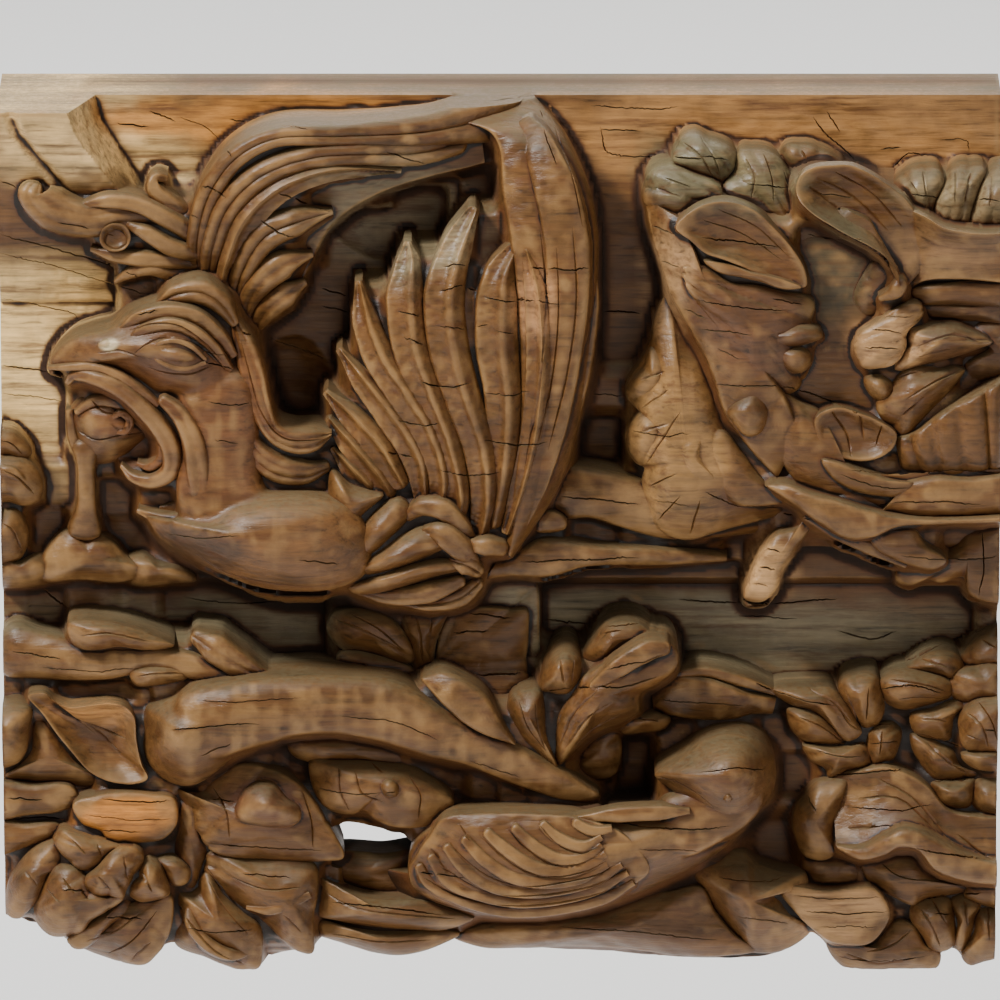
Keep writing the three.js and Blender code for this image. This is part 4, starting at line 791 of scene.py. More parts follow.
# A small open flower at the lower left.
smallFlower = {
    "leftPetal": {"outline": [(2, 918), (4, 884), (16, 864), (35, 848), (55, 843), (61, 868), (48, 876),
        (42, 890), (34, 905), (24, 916), (14, 924)], "rim": [16, 22, 28, 26], "centre": (30, 880, 33), "k": 2},
    "topPetal": {"outline": [(50, 839), (58, 831), (80, 836), (107, 843), (120, 849), (108, 860), (96, 871),
        (80, 873), (64, 862), (55, 852)], "rim": [30, 32, 34, 36], "centre": (84, 853, 41), "k": 2},
    "heart": {"outline": [(28, 916), (39, 886), (50, 869), (65, 866), (84, 877), (88, 891), (103, 899),
        (122, 900), (107, 913), (88, 924), (80, 937), (64, 941), (48, 940), (34, 929)],
        "rim": [24, 32, 36, 34, 26], "centre": (66, 904, 41), "k": 2, "lip": 0.6},
    "roundPetal": {"outline": [(82, 882), (96, 867), (112, 851), (130, 848), (143, 859), (134, 876),
        (126, 889), (121, 901), (104, 900), (88, 897)], "rim": [38, 38, 34, 36], "centre": (108, 876, 46),
        "k": 2},
    "rightPetal": {"outline": [(125, 897), (133, 877), (143, 858), (156, 863), (164, 880), (168, 897),
        (150, 904), (136, 905)], "rim": 30, "centre": (148, 885, 40), "k": 2},
    "lowerFan": {"outline": [(82, 940), (88, 934), (102, 922), (121, 909), (134, 903), (155, 900), (169, 897),
        (171, 918), (164, 947), (153, 960), (142, 969), (121, 969), (102, 963), (80, 954), (64, 948)],
        "rim": [20, 26, 28, 22, 12], "centre": (122, 932, 31), "k": 2},
    "fanFold": {"outline": [(62, 944), (88, 923), (107, 911), (124, 900), (131, 910), (118, 924), (102, 937),
        (80, 953), (67, 952)], "rim": 26, "centre": (98, 927, 32), "thick": 24, "k": 2},
}

# Three folded leaves hang beside the flower.
foldedLeaves = {
    "upper": {"outline": [(150, 780), (174, 791), (193, 788), (214, 777), (233, 766), (255, 764), (274, 770),
        (296, 784), (318, 808), (334, 834), (343, 860), (321, 864), (295, 864), (263, 862), (230, 860),
        (206, 852), (197, 837), (187, 822), (178, 806)], "rim": [14, 22, 26, 26, 24, 26],
        "centre": (252, 822, 36), "k": 1.8},
    "boss": {"outline": [(232, 811), (241, 792), (255, 783), (272, 785), (286, 800), (299, 810), (300, 822),
        (288, 830), (257, 830), (236, 823)], "rim": 35, "centre": (266, 808, 47), "k": 1.6},
    "middle": {"outline": [(201, 872), (208, 853), (241, 860), (295, 862), (314, 868), (317, 896), (313, 923),
        (311, 957), (295, 955), (279, 943), (260, 924), (241, 913), (222, 897)], "rim": [18, 24, 26, 18],
        "centre": (288, 902, 35), "k": 2},
    "middleLip": {"path": [(244, 911, 24), (268, 914, 31), (290, 906, 34), (309, 898, 32)],
        "width": [5, 12, 12, 8], "thick": 24},
    "lower": {"outline": [(170, 895), (188, 895), (204, 874), (222, 898), (241, 915), (258, 930), (261, 955),
        (257, 974), (240, 977), (220, 970), (201, 962), (171, 949), (168, 920)], "rim": [16, 20, 18, 12],
        "centre": (217, 926, 31), "k": 1.8},
    "lowerRidge": {"path": [(188, 900, 20), (188, 926, 28), (204, 948, 30), (230, 960, 27), (254, 954, 20)],
        "width": [6, 13, 14, 13, 5]},
}

# The bough crosses the middle and thins out to the right; its bulb is at the left.
boughShapes = {
    "bulb": {"outline": [(141, 730), (144, 710), (166, 700), (187, 694), (212, 691), (236, 700), (242, 724),
        (236, 752), (214, 774), (193, 787), (174, 787), (153, 774), (142, 754)],
        "rim": [22, 34, 36, 26], "centre": (188, 738, 52), "k": 1.8},
    "limb": {"path": [(172, 744, 44), (205, 730, 50), (250, 718, 52), (300, 710, 52), (340, 710, 51),
        (385, 716, 50), (430, 734, 48), (475, 750, 45), (515, 768, 42), (560, 788, 38), (603, 803, 30)],
        "width": [70, 80, 72, 62, 60, 66, 56, 44, 40, 32, 12], "crown": 0.7},
}
boughLeaves = {
    "pointedLeaf": {"base": [(424, 676, 38), (443, 672, 43), (464, 681, 46), (486, 696, 46), (498, 714, 45),
        (516, 744, 40)], "rim": [(420, 680, 38), (430, 692, 43), (443, 706, 48), (463, 724, 49),
        (486, 737, 48), (514, 745, 40)], "bulge": 2, "thick": 34},
    "upperLobe": {"outline": [(286, 744), (300, 740), (340, 736), (380, 744), (412, 758), (404, 768),
        (370, 766), (338, 766), (308, 764), (290, 756)], "rim": [16, 20, 22, 18], "centre": (345, 752, 26),
        "k": 2},
    "mainLobe": {"outline": [(309, 762), (309, 781), (315, 798), (325, 810), (341, 816), (354, 816), (362, 812),
        (374, 821), (389, 828), (411, 830), (434, 827), (446, 818), (454, 804), (450, 795), (438, 783),
        (427, 775), (412, 766), (380, 760), (340, 758)], "rim": [20, 24, 28, 28, 22],
        "centre": (384, 790, 38), "k": 2},
    "knob": {"outline": [(380, 786), (388, 780), (398, 786), (397, 797), (386, 799)], "rim": 38,
        "centre": (389, 790, 43), "thick": 10},
}

# Leaves and a raised block on the middle ground.
middleLeaves = {
    "firstLobe": {"outline": [(324, 626), (333, 612), (348, 608), (371, 610), (390, 618), (404, 631),
        (412, 646), (416, 660), (402, 665), (384, 660), (362, 655), (341, 650), (329, 638)],
        "rim": [8, 14, 16, 10], "centre": (366, 632, 22), "k": 2},
    "secondLobe": {"outline": [(336, 655), (351, 650), (374, 654), (397, 662), (414, 670), (410, 680),
        (376, 684), (350, 682), (338, 676)], "rim": [10, 14, 12], "centre": (374, 668, 19), "k": 2},
    "rightLobe": {"outline": [(396, 624), (402, 612), (415, 604), (433, 603), (449, 608), (444, 624),
        (436, 644), (434, 664), (436, 676), (420, 680), (411, 666), (406, 646)], "rim": [8, 14, 12],
        "centre": (420, 640, 20), "k": 2},
    "block": {"outline": [(443, 580), (470, 579), (505, 579), (538, 580), (540, 588), (540, 630), (541, 674),
        (530, 680), (480, 680), (446, 680), (441, 640)], "rim": 7, "centre": (490, 630, 9), "k": 6},
    "blockPad": {"outline": [(442, 623), (453, 611), (478, 607), (512, 608), (528, 610), (529, 631),
        (528, 662), (526, 676), (478, 690), (450, 700), (436, 676), (438, 640)], "rim": [12, 15, 15, 16],
        "centre": (486, 644, 19), "k": 3},
    "lowerPad": {"outline": [(446, 672), (480, 668), (526, 672), (528, 700), (510, 712), (470, 712),
        (448, 700)], "rim": 16, "centre": (490, 690, 20), "k": 3},
}

# A fan of lobes stands on the bough; its long lobe points to the upper right.
fanLeaf = {
    "backLobe": {"outline": [(582, 660), (593, 640), (606, 625), (622, 621), (640, 624), (654, 635),
        (632, 643), (611, 656), (594, 669)], "rim": [26, 30, 34], "centre": (614, 640, 38), "k": 2},
    "longLobe": {"outline": [(575, 690, 42), (583, 676, 44), (606, 663, 46), (626, 648, 48), (642, 639, 48),
        (658, 636, 46), (669, 640, 46), (677, 649, 46), (679, 660, 46), (674, 671, 46), (658, 684, 44),
        (641, 694, 42), (640, 712, 38), (627, 722, 36), (606, 730, 36), (588, 740, 34), (575, 753, 32),
        (557, 768, 30), (554, 744, 34), (557, 720, 38)], "centre": (604, 696, 54), "k": 2},
    "upperHalf": {"path": [(590, 690, 52), (620, 668, 57), (648, 652, 58), (672, 648, 53)],
        "width": [10, 20, 22, 14], "thick": 24, "crown": 0.5},
    "topLobe": {"outline": [(540, 684), (545, 667), (555, 655), (568, 651), (580, 659), (582, 674), (576, 686),
        (568, 694), (552, 694), (541, 690)], "rim": [38, 40, 42], "centre": (560, 672, 50), "k": 2},
    "leftLobe": {"outline": [(507, 706), (514, 692), (527, 688), (541, 690), (545, 708), (546, 733),
        (552, 752), (558, 770), (540, 758), (522, 744), (511, 726)], "rim": [32, 36, 38, 32],
        "centre": (528, 716, 46), "k": 2},
    "smallLobe": {"outline": [(618, 722), (639, 714), (657, 713), (672, 720), (666, 730), (644, 734),
        (624, 735)], "rim": 22, "centre": (645, 723, 29), "k": 2},
    "fragment": {"outline": [(578, 770), (588, 742), (606, 728), (620, 732), (618, 774), (598, 781)],
        "rim": 16, "centre": (600, 756, 22), "k": 2},
    "rightStem": {"base": [(652, 692, 14), (674, 676, 22), (705, 679, 26), (731, 687, 26), (750, 694, 22),
        (778, 698, 14)], "rim": [(655, 714, 14), (675, 718, 20), (705, 722, 22), (735, 721, 20),
        (755, 716, 14), (774, 716, 10)], "bulge": 3},
    "rightStemEdge": {"path": [(672, 676, 24), (705, 673, 25), (740, 682, 24), (778, 694, 16)],
        "width": [6, 10, 12, 8]},
}

# The small bird: body, head, folded wing and tail.
birdShapes = {
    "body": {"outline": [(407, 873, 26), (412, 848, 30), (430, 830, 34), (458, 822, 38), (500, 818, 42),
        (545, 815, 45), (590, 816, 46), (640, 812, 44), (690, 806, 42), (730, 800, 40), (764, 800, 34),
        (756, 815, 34), (739, 834, 34), (726, 850, 34), (705, 864, 34), (674, 880, 34), (640, 896, 34),
        (600, 908, 34), (555, 916, 34), (510, 920, 34), (470, 916, 32), (430, 904, 28), (411, 890, 26)],
        "centre": (600, 858, 62), "k": 2},
    "nape": {"path": [(738, 776, 60), (728, 800, 57), (700, 822, 56), (660, 838, 57)],
        "width": [74, 74, 66, 76], "crown": 0.6},
}
birdParts = {
    "head": {"outline": [(655, 776, 48), (667, 767, 50), (680, 760, 50), (691, 752, 48), (702, 743, 46),
        (716, 736, 44), (733, 733, 42), (752, 736, 40), (766, 745, 38), (775, 760, 38), (777, 778, 38),
        (772, 797, 40), (760, 812, 44), (742, 820, 50), (722, 819, 52), (706, 812, 52), (692, 804, 50),
        (678, 795, 48), (665, 785, 47)], "centre": (731, 776, 71), "k": 1.9},
    "eye": {"outline": [(723, 796), (727, 792), (732, 794), (733, 799), (729, 802), (724, 801)],
        "rim": 65, "centre": (728, 797, 68), "thick": 8, "k": 2},
    "wing": {"outline": [(408, 873, 32), (416, 856, 38), (428, 838, 42), (443, 819, 46), (480, 814, 50),
        (530, 814, 54), (580, 818, 57), (620, 832, 60), (640, 850, 60), (650, 872, 56), (628, 890, 52),
        (593, 906, 46), (555, 913, 43), (517, 917, 40), (478, 914, 36), (453, 909, 34), (427, 900, 32),
        (412, 889, 31)], "centre": (560, 862, 60), "k": 2.2, "thick": 30},
    "napeBand": {"path": [(575, 820, 56), (620, 816, 60), (660, 814, 60), (690, 812, 58)],
        "width": [5, 16, 16, 6], "thick": 14, "crown": 0.4},
    "wingFeather1": {"path": [(417, 866, 39.6), (430, 886, 40.3), (466, 904, 42.3), (510, 914, 44.3),
        (560, 911, 47.5), (604, 900, 52.3), (634, 884, 56.1)],
        "width": [10, 14, 14, 14, 14, 14, 7], "thick": 12, "crown": 0.5},
    "wingFeather2": {"path": [(429, 856, 45.1), (449, 884, 46.4), (486, 899, 48.8), (520, 904, 51.1),
        (558, 901, 53), (598, 890, 56.9), (628, 874, 59.2)],
        "width": [10, 14, 14, 14, 14, 14, 7], "thick": 12, "crown": 0.5},
    "wingFeather3": {"path": [(444, 846, 49.4), (466, 872, 52.2), (494, 889, 53.9), (526, 894, 55.9),
        (560, 891, 57.6), (598, 880, 59.6), (622, 866, 60.7)],
        "width": [10, 14, 14, 14, 14, 14, 7], "thick": 12, "crown": 0.5},
    "wingFeather4": {"path": [(462, 838, 53.6), (483, 860, 56.5), (510, 878, 58.7), (544, 884, 59.6),
        (578, 880, 60.3), (608, 866, 61.3)],
        "width": [10, 14, 14, 14, 14, 7], "thick": 12, "crown": 0.5},
    "wingFeather5": {"path": [(484, 831, 57.1), (505, 850, 59.6), (534, 868, 61.5), (564, 873, 61.7),
        (592, 865, 61.8), (606, 855, 62.2)],
        "width": [10, 14, 14, 14, 14, 7], "thick": 12, "crown": 0.5},
    "wingFeather6": {"path": [(512, 826, 58.8), (530, 844, 61), (560, 861, 62.2), (586, 858, 62.2),
        (602, 846, 62.2)],
        "width": [10, 13, 13, 13, 7], "thick": 12, "crown": 0.5},
    "wingFeather7": {"path": [(540, 823, 59.6), (556, 838, 61.3), (584, 848, 62.2), (602, 838, 62.1)],
        "width": [10, 13, 13, 7], "thick": 12, "crown": 0.5},
    "wingFeather8": {"path": [(572, 822, 60.6), (592, 832, 61.5), (612, 830, 61.9)],
        "width": [10, 12, 7], "thick": 12, "crown": 0.5},
    "upperTail": {"outline": [(309, 892), (316, 880), (330, 886), (346, 894), (364, 900), (387, 903),
        (422, 903), (453, 913), (474, 922), (463, 928), (443, 934), (402, 933), (364, 930), (338, 925),
        (314, 918)], "rim": [14, 20, 26, 24, 18], "centre": (384, 916, 32), "k": 2},
    "lowerTail": {"outline": [(310, 926), (322, 924), (340, 929), (376, 933), (402, 934), (443, 933),
        (460, 938), (443, 948), (422, 956), (397, 960), (376, 958), (351, 951), (325, 943), (312, 938)],
        "rim": [10, 16, 18, 12], "centre": (386, 945, 24), "k": 2},
    "tailGround": {"outline": [(306, 864), (338, 854), (380, 856), (424, 853), (410, 880), (414, 902),
        (387, 905), (346, 893), (314, 880)], "rim": 3, "centre": (364, 877, 10), "k": 2},
}

# A thick limb comes up behind the bird and a long one runs along the bottom edge.
lowerLimbs = {
    "thick": {"outline": [(724, 850), (745, 853), (760, 866), (786, 874), (808, 877), (810, 889), (786, 894),
        (788, 906), (799, 920), (815, 932), (798, 949), (776, 957), (755, 956), (737, 939), (718, 915),
        (704, 892), (695, 876), (704, 860)], "rim": [18, 20, 18, 16], "centre": (752, 904, 40), "k": 1.8},
    "long": {"outline": [(452, 941), (473, 931), (520, 921), (580, 914), (640, 896), (671, 894), (704, 890),
        (718, 916), (739, 940), (760, 954), (720, 961), (679, 960), (640, 955), (580, 951), (524, 953),
        (480, 952)], "rim": [8, 14, 20, 22, 14, 8], "centre": (640, 930, 29), "k": 2},
}

# The lower right: a leaf with five lobes, a broad wavy leaf, and a rosette at the end.
rightLeaf = {
    "stemBand": {"outline": [(772, 690), (802, 686), (833, 688), (846, 700), (859, 722), (864, 735),
        (848, 743), (835, 729), (815, 713), (790, 705)], "rim": [16, 20, 24, 20], "centre": (820, 704, 28),
        "k": 2},
    "topLobe": {"outline": [(840, 686), (847, 677), (865, 673), (879, 676), (884, 688), (888, 702), (886, 716),
        (878, 728), (862, 728), (850, 710), (842, 698)], "rim": 20, "centre": (864, 697, 31), "k": 2},
    "leftLobe": {"outline": [(788, 711), (800, 708), (823, 714), (840, 730), (851, 745), (823, 746),
        (802, 740), (791, 727)], "rim": 17, "centre": (814, 727, 27), "k": 2},
    "lowerLobe": {"outline": [(804, 747), (828, 746), (850, 746), (869, 743), (878, 757), (873, 770),
        (855, 773), (831, 780), (826, 770), (812, 762)], "rim": 17, "centre": (842, 758, 27), "k": 2},
    "rightLobe": {"outline": [(873, 728), (891, 722), (904, 730), (903, 745), (895, 762), (876, 768),
        (867, 748)], "rim": 17, "centre": (884, 744, 27), "k": 2},
}
wavyLeaf = {
    "leftFold": {"outline": [(806, 797), (820, 782), (836, 780), (850, 782), (846, 800), (838, 820),
        (835, 835), (837, 856), (828, 863), (807, 859), (797, 839), (794, 822), (798, 806)],
        "rim": [16, 22, 24, 16], "centre": (816, 824, 29), "k": 2},
    "face": {"base": [(834, 778, 18), (860, 772, 24), (890, 768, 26), (928, 786, 28), (952, 812, 28),
        (980, 818, 30), (1014, 820, 30)], "rim": [(838, 850, 34), (862, 852, 38), (888, 842, 42),
        (915, 840, 44), (945, 862, 44), (972, 874, 42), (1014, 880, 40)], "bulge": -4},
    "lip": {"base": [(838, 846, 34), (862, 848, 42), (888, 836, 48), (902, 830, 50), (920, 832, 50),
        (948, 846, 48), (978, 860, 46), (1014, 866, 44)], "rim": [(841, 852, 32), (862, 862, 42),
        (886, 857, 46), (901, 849, 48), (919, 852, 48), (936, 872, 45), (966, 884, 41), (1014, 890, 40)],
        "bulge": 3, "thick": 26},
    "underFold": {"outline": [(806, 862), (838, 858), (868, 864), (868, 890), (848, 897), (810, 890)],
        "rim": 12, "centre": (840, 876, 18), "k": 2},
    "underLeaf": {"outline": [(864, 868), (878, 858), (898, 850), (920, 852), (938, 872), (952, 884),
        (980, 892), (930, 904), (917, 909), (896, 900), (874, 887)], "rim": [18, 14, 16, 20],
        "centre": (915, 882, 25), "k": 2},
    "brokenBit": {"outline": [(781, 892), (792, 888), (802, 889), (828, 893), (862, 890), (877, 891),
        (888, 902), (893, 918), (887, 933), (873, 947), (849, 949), (831, 944), (813, 931), (797, 915)],
        "rim": 28, "centre": (842, 916, 30), "k": 4},
    "bottomLobe": {"outline": [(830, 946), (857, 950), (876, 946), (892, 930), (904, 924), (918, 930),
        (931, 951), (945, 957), (942, 973), (920, 976), (901, 977), (862, 979), (844, 970), (833, 957)],
        "rim": [12, 16, 18, 10, 8], "centre": (890, 954, 23), "k": 2},
    "firstRound": {"outline": [(916, 907), (938, 899), (955, 903), (961, 927), (960, 948), (948, 956),
        (935, 954), (927, 941), (914, 923)], "rim": 17, "centre": (940, 926, 28), "k": 2},
    "secondRound": {"outline": [(953, 903), (975, 895), (988, 904), (982, 922), (979, 938), (966, 956),
        (958, 950), (960, 926)], "rim": 15, "centre": (968, 922, 26), "k": 2},
    "thirdRound": {"outline": [(980, 912), (998, 908), (1014, 910), (1014, 956), (988, 967), (974, 970),
        (966, 960), (975, 938)], "rim": 15, "centre": (994, 936, 27), "k": 2},
    "rightPlate": {"outline": [(975, 886), (1014, 884), (1014, 912), (985, 908), (968, 900)], "rim": 20,
        "centre": (994, 896, 26), "k": 2},
}
rosette = {
    "backLobe": {"outline": [(906, 669), (922, 657), (941, 650), (960, 654), (968, 668), (962, 684),
        (944, 682), (924, 676)], "rim": 15, "centre": (942, 666, 25), "k": 2},
    "rightBackLobe": {"outline": [(962, 658), (977, 640), (1000, 627), (1014, 624), (1014, 670), (985, 672),
        (967, 668)], "rim": 14, "centre": (992, 654, 24), "k": 2},
    "roundLobe": {"outline": [(879, 685), (891, 674), (909, 669), (928, 671), (948, 676), (958, 685),
        (953, 698), (936, 706), (917, 711), (901, 711), (887, 703)], "rim": 20, "centre": (918, 690, 31),
        "k": 2},
    "middle": {"outline": [(950, 678), (975, 666), (1014, 662), (1014, 708), (975, 708), (956, 700)],
        "rim": 20, "centre": (984, 688, 29), "k": 2},
    "lowerFan": {"outline": [(912, 714), (933, 707), (959, 700), (972, 705), (960, 716), (957, 732),
        (952, 742), (938, 741), (916, 733)], "rim": 20, "centre": (938, 722, 29), "k": 2},
    "crescent": {"outline": [(913, 735), (927, 737), (941, 741), (958, 752), (968, 768), (990, 778),
        (964, 784), (940, 784), (926, 770), (915, 752)], "rim": 17, "centre": (944, 763, 26), "k": 2},
    "heart": {"outline": [(960, 722), (969, 706), (983, 699), (1014, 702), (1014, 752), (985, 754),
        (967, 750), (961, 737)], "rim": [28, 30, 30], "centre": (986, 726, 41), "k": 1.8},
    "orangeLobe": {"outline": [(963, 756), (980, 751), (1014, 752), (1014, 770), (980, 771), (968, 765)],
        "rim": 28, "centre": (990, 761, 35), "k": 2},
    "leftBoss": {"outline": [(933, 784), (954, 781), (979, 780), (982, 798), (974, 811), (952, 814),
        (938, 806), (934, 794)], "rim": 19, "centre": (956, 796, 31), "k": 2},
    "rightBoss": {"outline": [(976, 783), (1000, 776), (1014, 777), (1014, 826), (985, 817), (973, 806)],
        "rim": 20, "centre": (994, 800, 31), "k": 2},
}
print("setting out the forms")
carved = {
    "crestAndFarWing": shellsOf(crest, farWing),
    "headAndBreast": shellsOf(phoenixHead, budAndFlower),
    "nearWing": shellsOf(nearWing, coverts),
    "stemsAndLeaf": shellsOf(stems, peonyLeaf),
    "peony": shellsOf(peony),
    "boughAndFrond": shellsOf(frond, boughLeaves, foot=-24) + shellsOf(fanned(430, 668, 6, middleLeaves), foot=-14),
    "leftApron": shellsOf(lowerCorner, fanned(104, 862, 6, smallFlower), fanned(180, 850, 5, foldedLeaves),
                          foot=-24),
    "fanLeafAndBird": shellsOf(fanned(556, 772, 8, fanLeaf), birdParts, lowerLimbs, foot=-24),
    "rightApron": shellsOf(fanned(862, 752, 6, rightLeaf), wavyLeaf, fanned(1002, 704, 6, rosette), foot=-24),
}
flowing = {
    "headAndBreast": (shellsOf(phoenixBody), 0.0014, 12),
    "boughAndFrond": (shellsOf(boughShapes, foot=-24), 0.0016, 5),
    "fanLeafAndBird": (shellsOf(birdShapes, foot=-24), 0.0016, 6),
}


# A map of how far the front stands proud, one cell for two units of the drawing, with a margin.
cell = 2
margin = 10
mapSize = 520


def mapPlace(across, down):
    return [np.clip(value / cell + margin, 0, mapSize - 1.001) for value in (down, across)]


def frontMapOf(vertexLists):
    made = np.full((mapSize, mapSize), -60.0)
    for vertices in vertexLists:
        across, down, proud = readOff(vertices)
        row, column = mapPlace(across, down)
        np.maximum.at(made, (row.round().astype(int), column.round().astype(int)), proud)
    made[:, :margin] = made[:, margin:margin + 1]
    made[:, -margin:] = made[:, -margin - 1:-margin]
    around = np.max([np.roll(made, (i, j), (0, 1)) for i in (-1, 0, 1) for j in (-1, 0, 1)], axis=0)
    return np.where(made < around - 12, around, made)


# Between four cells the map is read in proportion.
def readMap(values, across, down):
    row, column = mapPlace(across, down)
    r, c = row.astype(int), column.astype(int)
    u, v = row - r, column - c
    upper = values[r, c] * (1 - v) + values[r, c + 1] * v
    lower = values[r + 1, c] * (1 - v) + values[r + 1, c + 1] * v
    return upper * (1 - u) + lower * u


# The map smoothed over a radius in cells, through its Fourier transform.
def smoothed(values, radius):
    k = np.fft.fftfreq(mapSize)
    response = np.exp(-2 * (np.pi * radius) ** 2 * (k[:, None] ** 2 + k[None, :] ** 2))
    return np.real(np.fft.ifft2(np.fft.fft2(np.maximum(values, -25)) * response))


# Gaps up to twice so many cells wide are closed: the highest, then the lowest value around.
def closedMap(values, cells):
    for pick in (np.max, np.min):
        for axis in (0, 1):
            values = pick([np.roll(values, shift, axis) for shift in range(-cells, cells + 1)], axis=0)
    return values


# Where forms stand close together the wood between them isn't cut down to the ground: cells that
# close, and how deep in mm the gap stays.
bed = {"gaps": [(3, 6), (6, 12), (9, 20)], "soft": 1.5}
shellLists = list(carved.values()) + [entry[0] for entry in flowing.values()]
roughMap = frontMapOf([shell[0] for shells in shellLists for shell in shells])
bedMap = np.max([smoothed(closedMap(roughMap, cells), bed["soft"]) - drop for cells, drop in bed["gaps"]], axis=0)


# A ground surface is raised to the bed: each vertex moves forward, and the sight line through it
# moves with it, so the reading is repeated.
def raised(vertices, front):
    original = vertices[:, 1].copy()
    for _ in range(5):
        across, down, _ = readOff(vertices)
        level = -(groundDepth + readMap(bedMap, across, down) / 1000)
        goal = np.where(front, np.minimum(original, level), original)
        vertices[:, 1] += 0.6 * (goal - vertices[:, 1])
    return vertices


# The ground board: rings are upright sections, from the top arris down to the lowest ground,
# joined along the beam. y(x, z) follows the steps, the raised corner and the hollows.
board = {
    "grounds": [(-400, 50), (578, 50), (590, 38), (694, 38), (706, 28), (800, 28)],   # down, depth mm
    "cornerDown": [-10, 12, 47, 80, 106],       # mm below the top
    "cornerProud": [44, 41, 26, 13, 2],
    "cornerGroove": [6, 22, 74, 112, 140],      # across
    "cornerEdge": [64, 80, 126, 164, 192],
    "cornerFoot": [92, 102, 146, 176, 196],
    "hollows": [                                # across, down, half across, half down, depth mm
        (420, 215, 92, 52, 9), (292, 392, 40, 56, 7), (124, 515, 28, 50, 32), (510, 792, 92, 30, 11),
        (815, 245, 60, 70, 10),
    ],
    "split": 522,                               # where the left and right halves meet
    "rowStep": 0.0016,
    "columnStep": 0.0021,
}


def boardFront(x, z):
    across = (x + halfLength) / unit
    below = (setting["topHeight"] - z) * 1000
    down = setting["arris"] + below * sightCos * 2
    steps = np.array(board["grounds"], float)
    depth = np.interp(down, steps[:, 0], steps[:, 1])
    proud = np.interp(below, board["cornerDown"], board["cornerProud"])
    groove = np.interp(below, board["cornerDown"], board["cornerGroove"])
    edge = np.interp(below, board["cornerDown"], board["cornerEdge"])
    foot = np.interp(below, board["cornerDown"], board["cornerFoot"])
    cut = np.minimum(3.5, proud) * np.clip(1 - np.abs(across - groove) / 9, 0, 1)
    slope = np.clip((foot - across) / (foot - edge), 0, 1)
    corner = np.where(below < 106, (proud - cut) * slope, 0)
    for a, d, halfAcross, halfDown, sunk in board["hollows"]:
        r = ((across - a) / halfAcross) ** 2 + ((down - d) / halfDown) ** 2
        depth = depth - sunk * np.clip(1 - r, 0, 1) ** 0.6
    return -(depth + corner) / 1000


def boardShell(fromAcross, toAcross):
    fromX, toX = fromAcross * unit - halfLength, toAcross * unit - halfLength
    x = np.linspace(fromX, toX, int((toX - fromX) / board["columnStep"]))
    if fromAcross < 200:         # finer columns where the raised corner slopes
        x = np.union1d(x, np.linspace(fromX, 200 * unit - halfLength, 80))
    lowest = setOut([(0, 780, -22)])[0, 2]
    z = np.linspace(setting["topHeight"], lowest, int((setting["topHeight"] - lowest) / board["rowStep"]))
    gridX, gridZ = np.meshgrid(x, z, indexing="ij")
    y = boardFront(gridX, gridZ)
    flat = raised(np.stack([gridX, y, gridZ], -1).reshape(-1, 3), np.full(gridX.size, True))
    front = flat.reshape(*gridX.shape, 3)
    lift = handWork(flat).reshape(gridX.shape)
    lift = lift * np.clip((setting["topHeight"] - gridZ) / 0.002, 0, 1)
    front[..., 1] -= lift
    back = []
    for share, height in ((1.0, lowest), (0.5, lowest), (0.0, lowest), (0.0, 0.0), (0.0, setting["topHeight"]),
                          (0.35, setting["topHeight"]), (0.7, setting["topHeight"])):
        column = np.column_stack([x, share * front[:, 0 if height > 0 else -1, 1] * 0.98, np.full(len(x), height)])
        back.append(column[:, None, :])
    return closeRings(np.concatenate([front] + back, axis=1), flat=True)


# The apron behind the leaves: slabs between an upper and a lower line, leaving the opening.
apron = {
    "left": {"base": [(-10, 772, -24), (330, 772, -24)], "thick": 26, "flat": True,
             "rim": [(-10, 902, -22), (60, 926, -22), (130, 950, -22), (166, 930, -22), (246, 960, -22),
                     (298, 940, -22), (330, 920, -22)]},
    "overOpening": {"base": [(322, 772, -24), (434, 772, -24)], "thick": 26, "flat": True,
                    "rim": [(322, 810, -22), (356, 812, -22), (392, 826, -22), (434, 820, -22)]},
    "underOpening": {"base": [(322, 850, -22), (342, 856, -22), (412, 856, -22), (434, 840, -22)],
                     "thick": 26, "flat": True, "rim": [(322, 918, -22), (430, 934, -22), (436, 928, -22)]},
    "right": {"base": [(424, 772, -24), (1012, 772, -24)], "thick": 26, "flat": True,
              "rim": [(424, 930, -22), (448, 918, -22), (500, 936, -22), (640, 950, -22), (788, 944, -22),
                      (815, 916, -22), (846, 956, -22), (930, 958, -22), (956, 936, -22), (976, 956, -22),
                      (1012, 944, -22)]},
}


def bedded(shells):
    made = []
    for vertices, quads, caps in shells:
        front = readOff(vertices)[2] > -28
        made.append((raised(vertices, front), quads, caps))
    return made


pieces = {"groundLeft": [boardShell(0, board["split"])] + bedded(shellsOf(apron, step=0.0017)),
          "groundRight": [boardShell(board["split"], 1000)], **carved}

print("joining the forms of each piece")
solids = {}
for name, shells in pieces.items():
    meshes = [meshOf("form", shell) for shell in shells]
    if name in flowing:
        meshes.insert(0, melted(*flowing[name]))
    solids[name] = placed(name, combined(meshes))
    print(name, len(solids[name].data.vertices), "vertices")

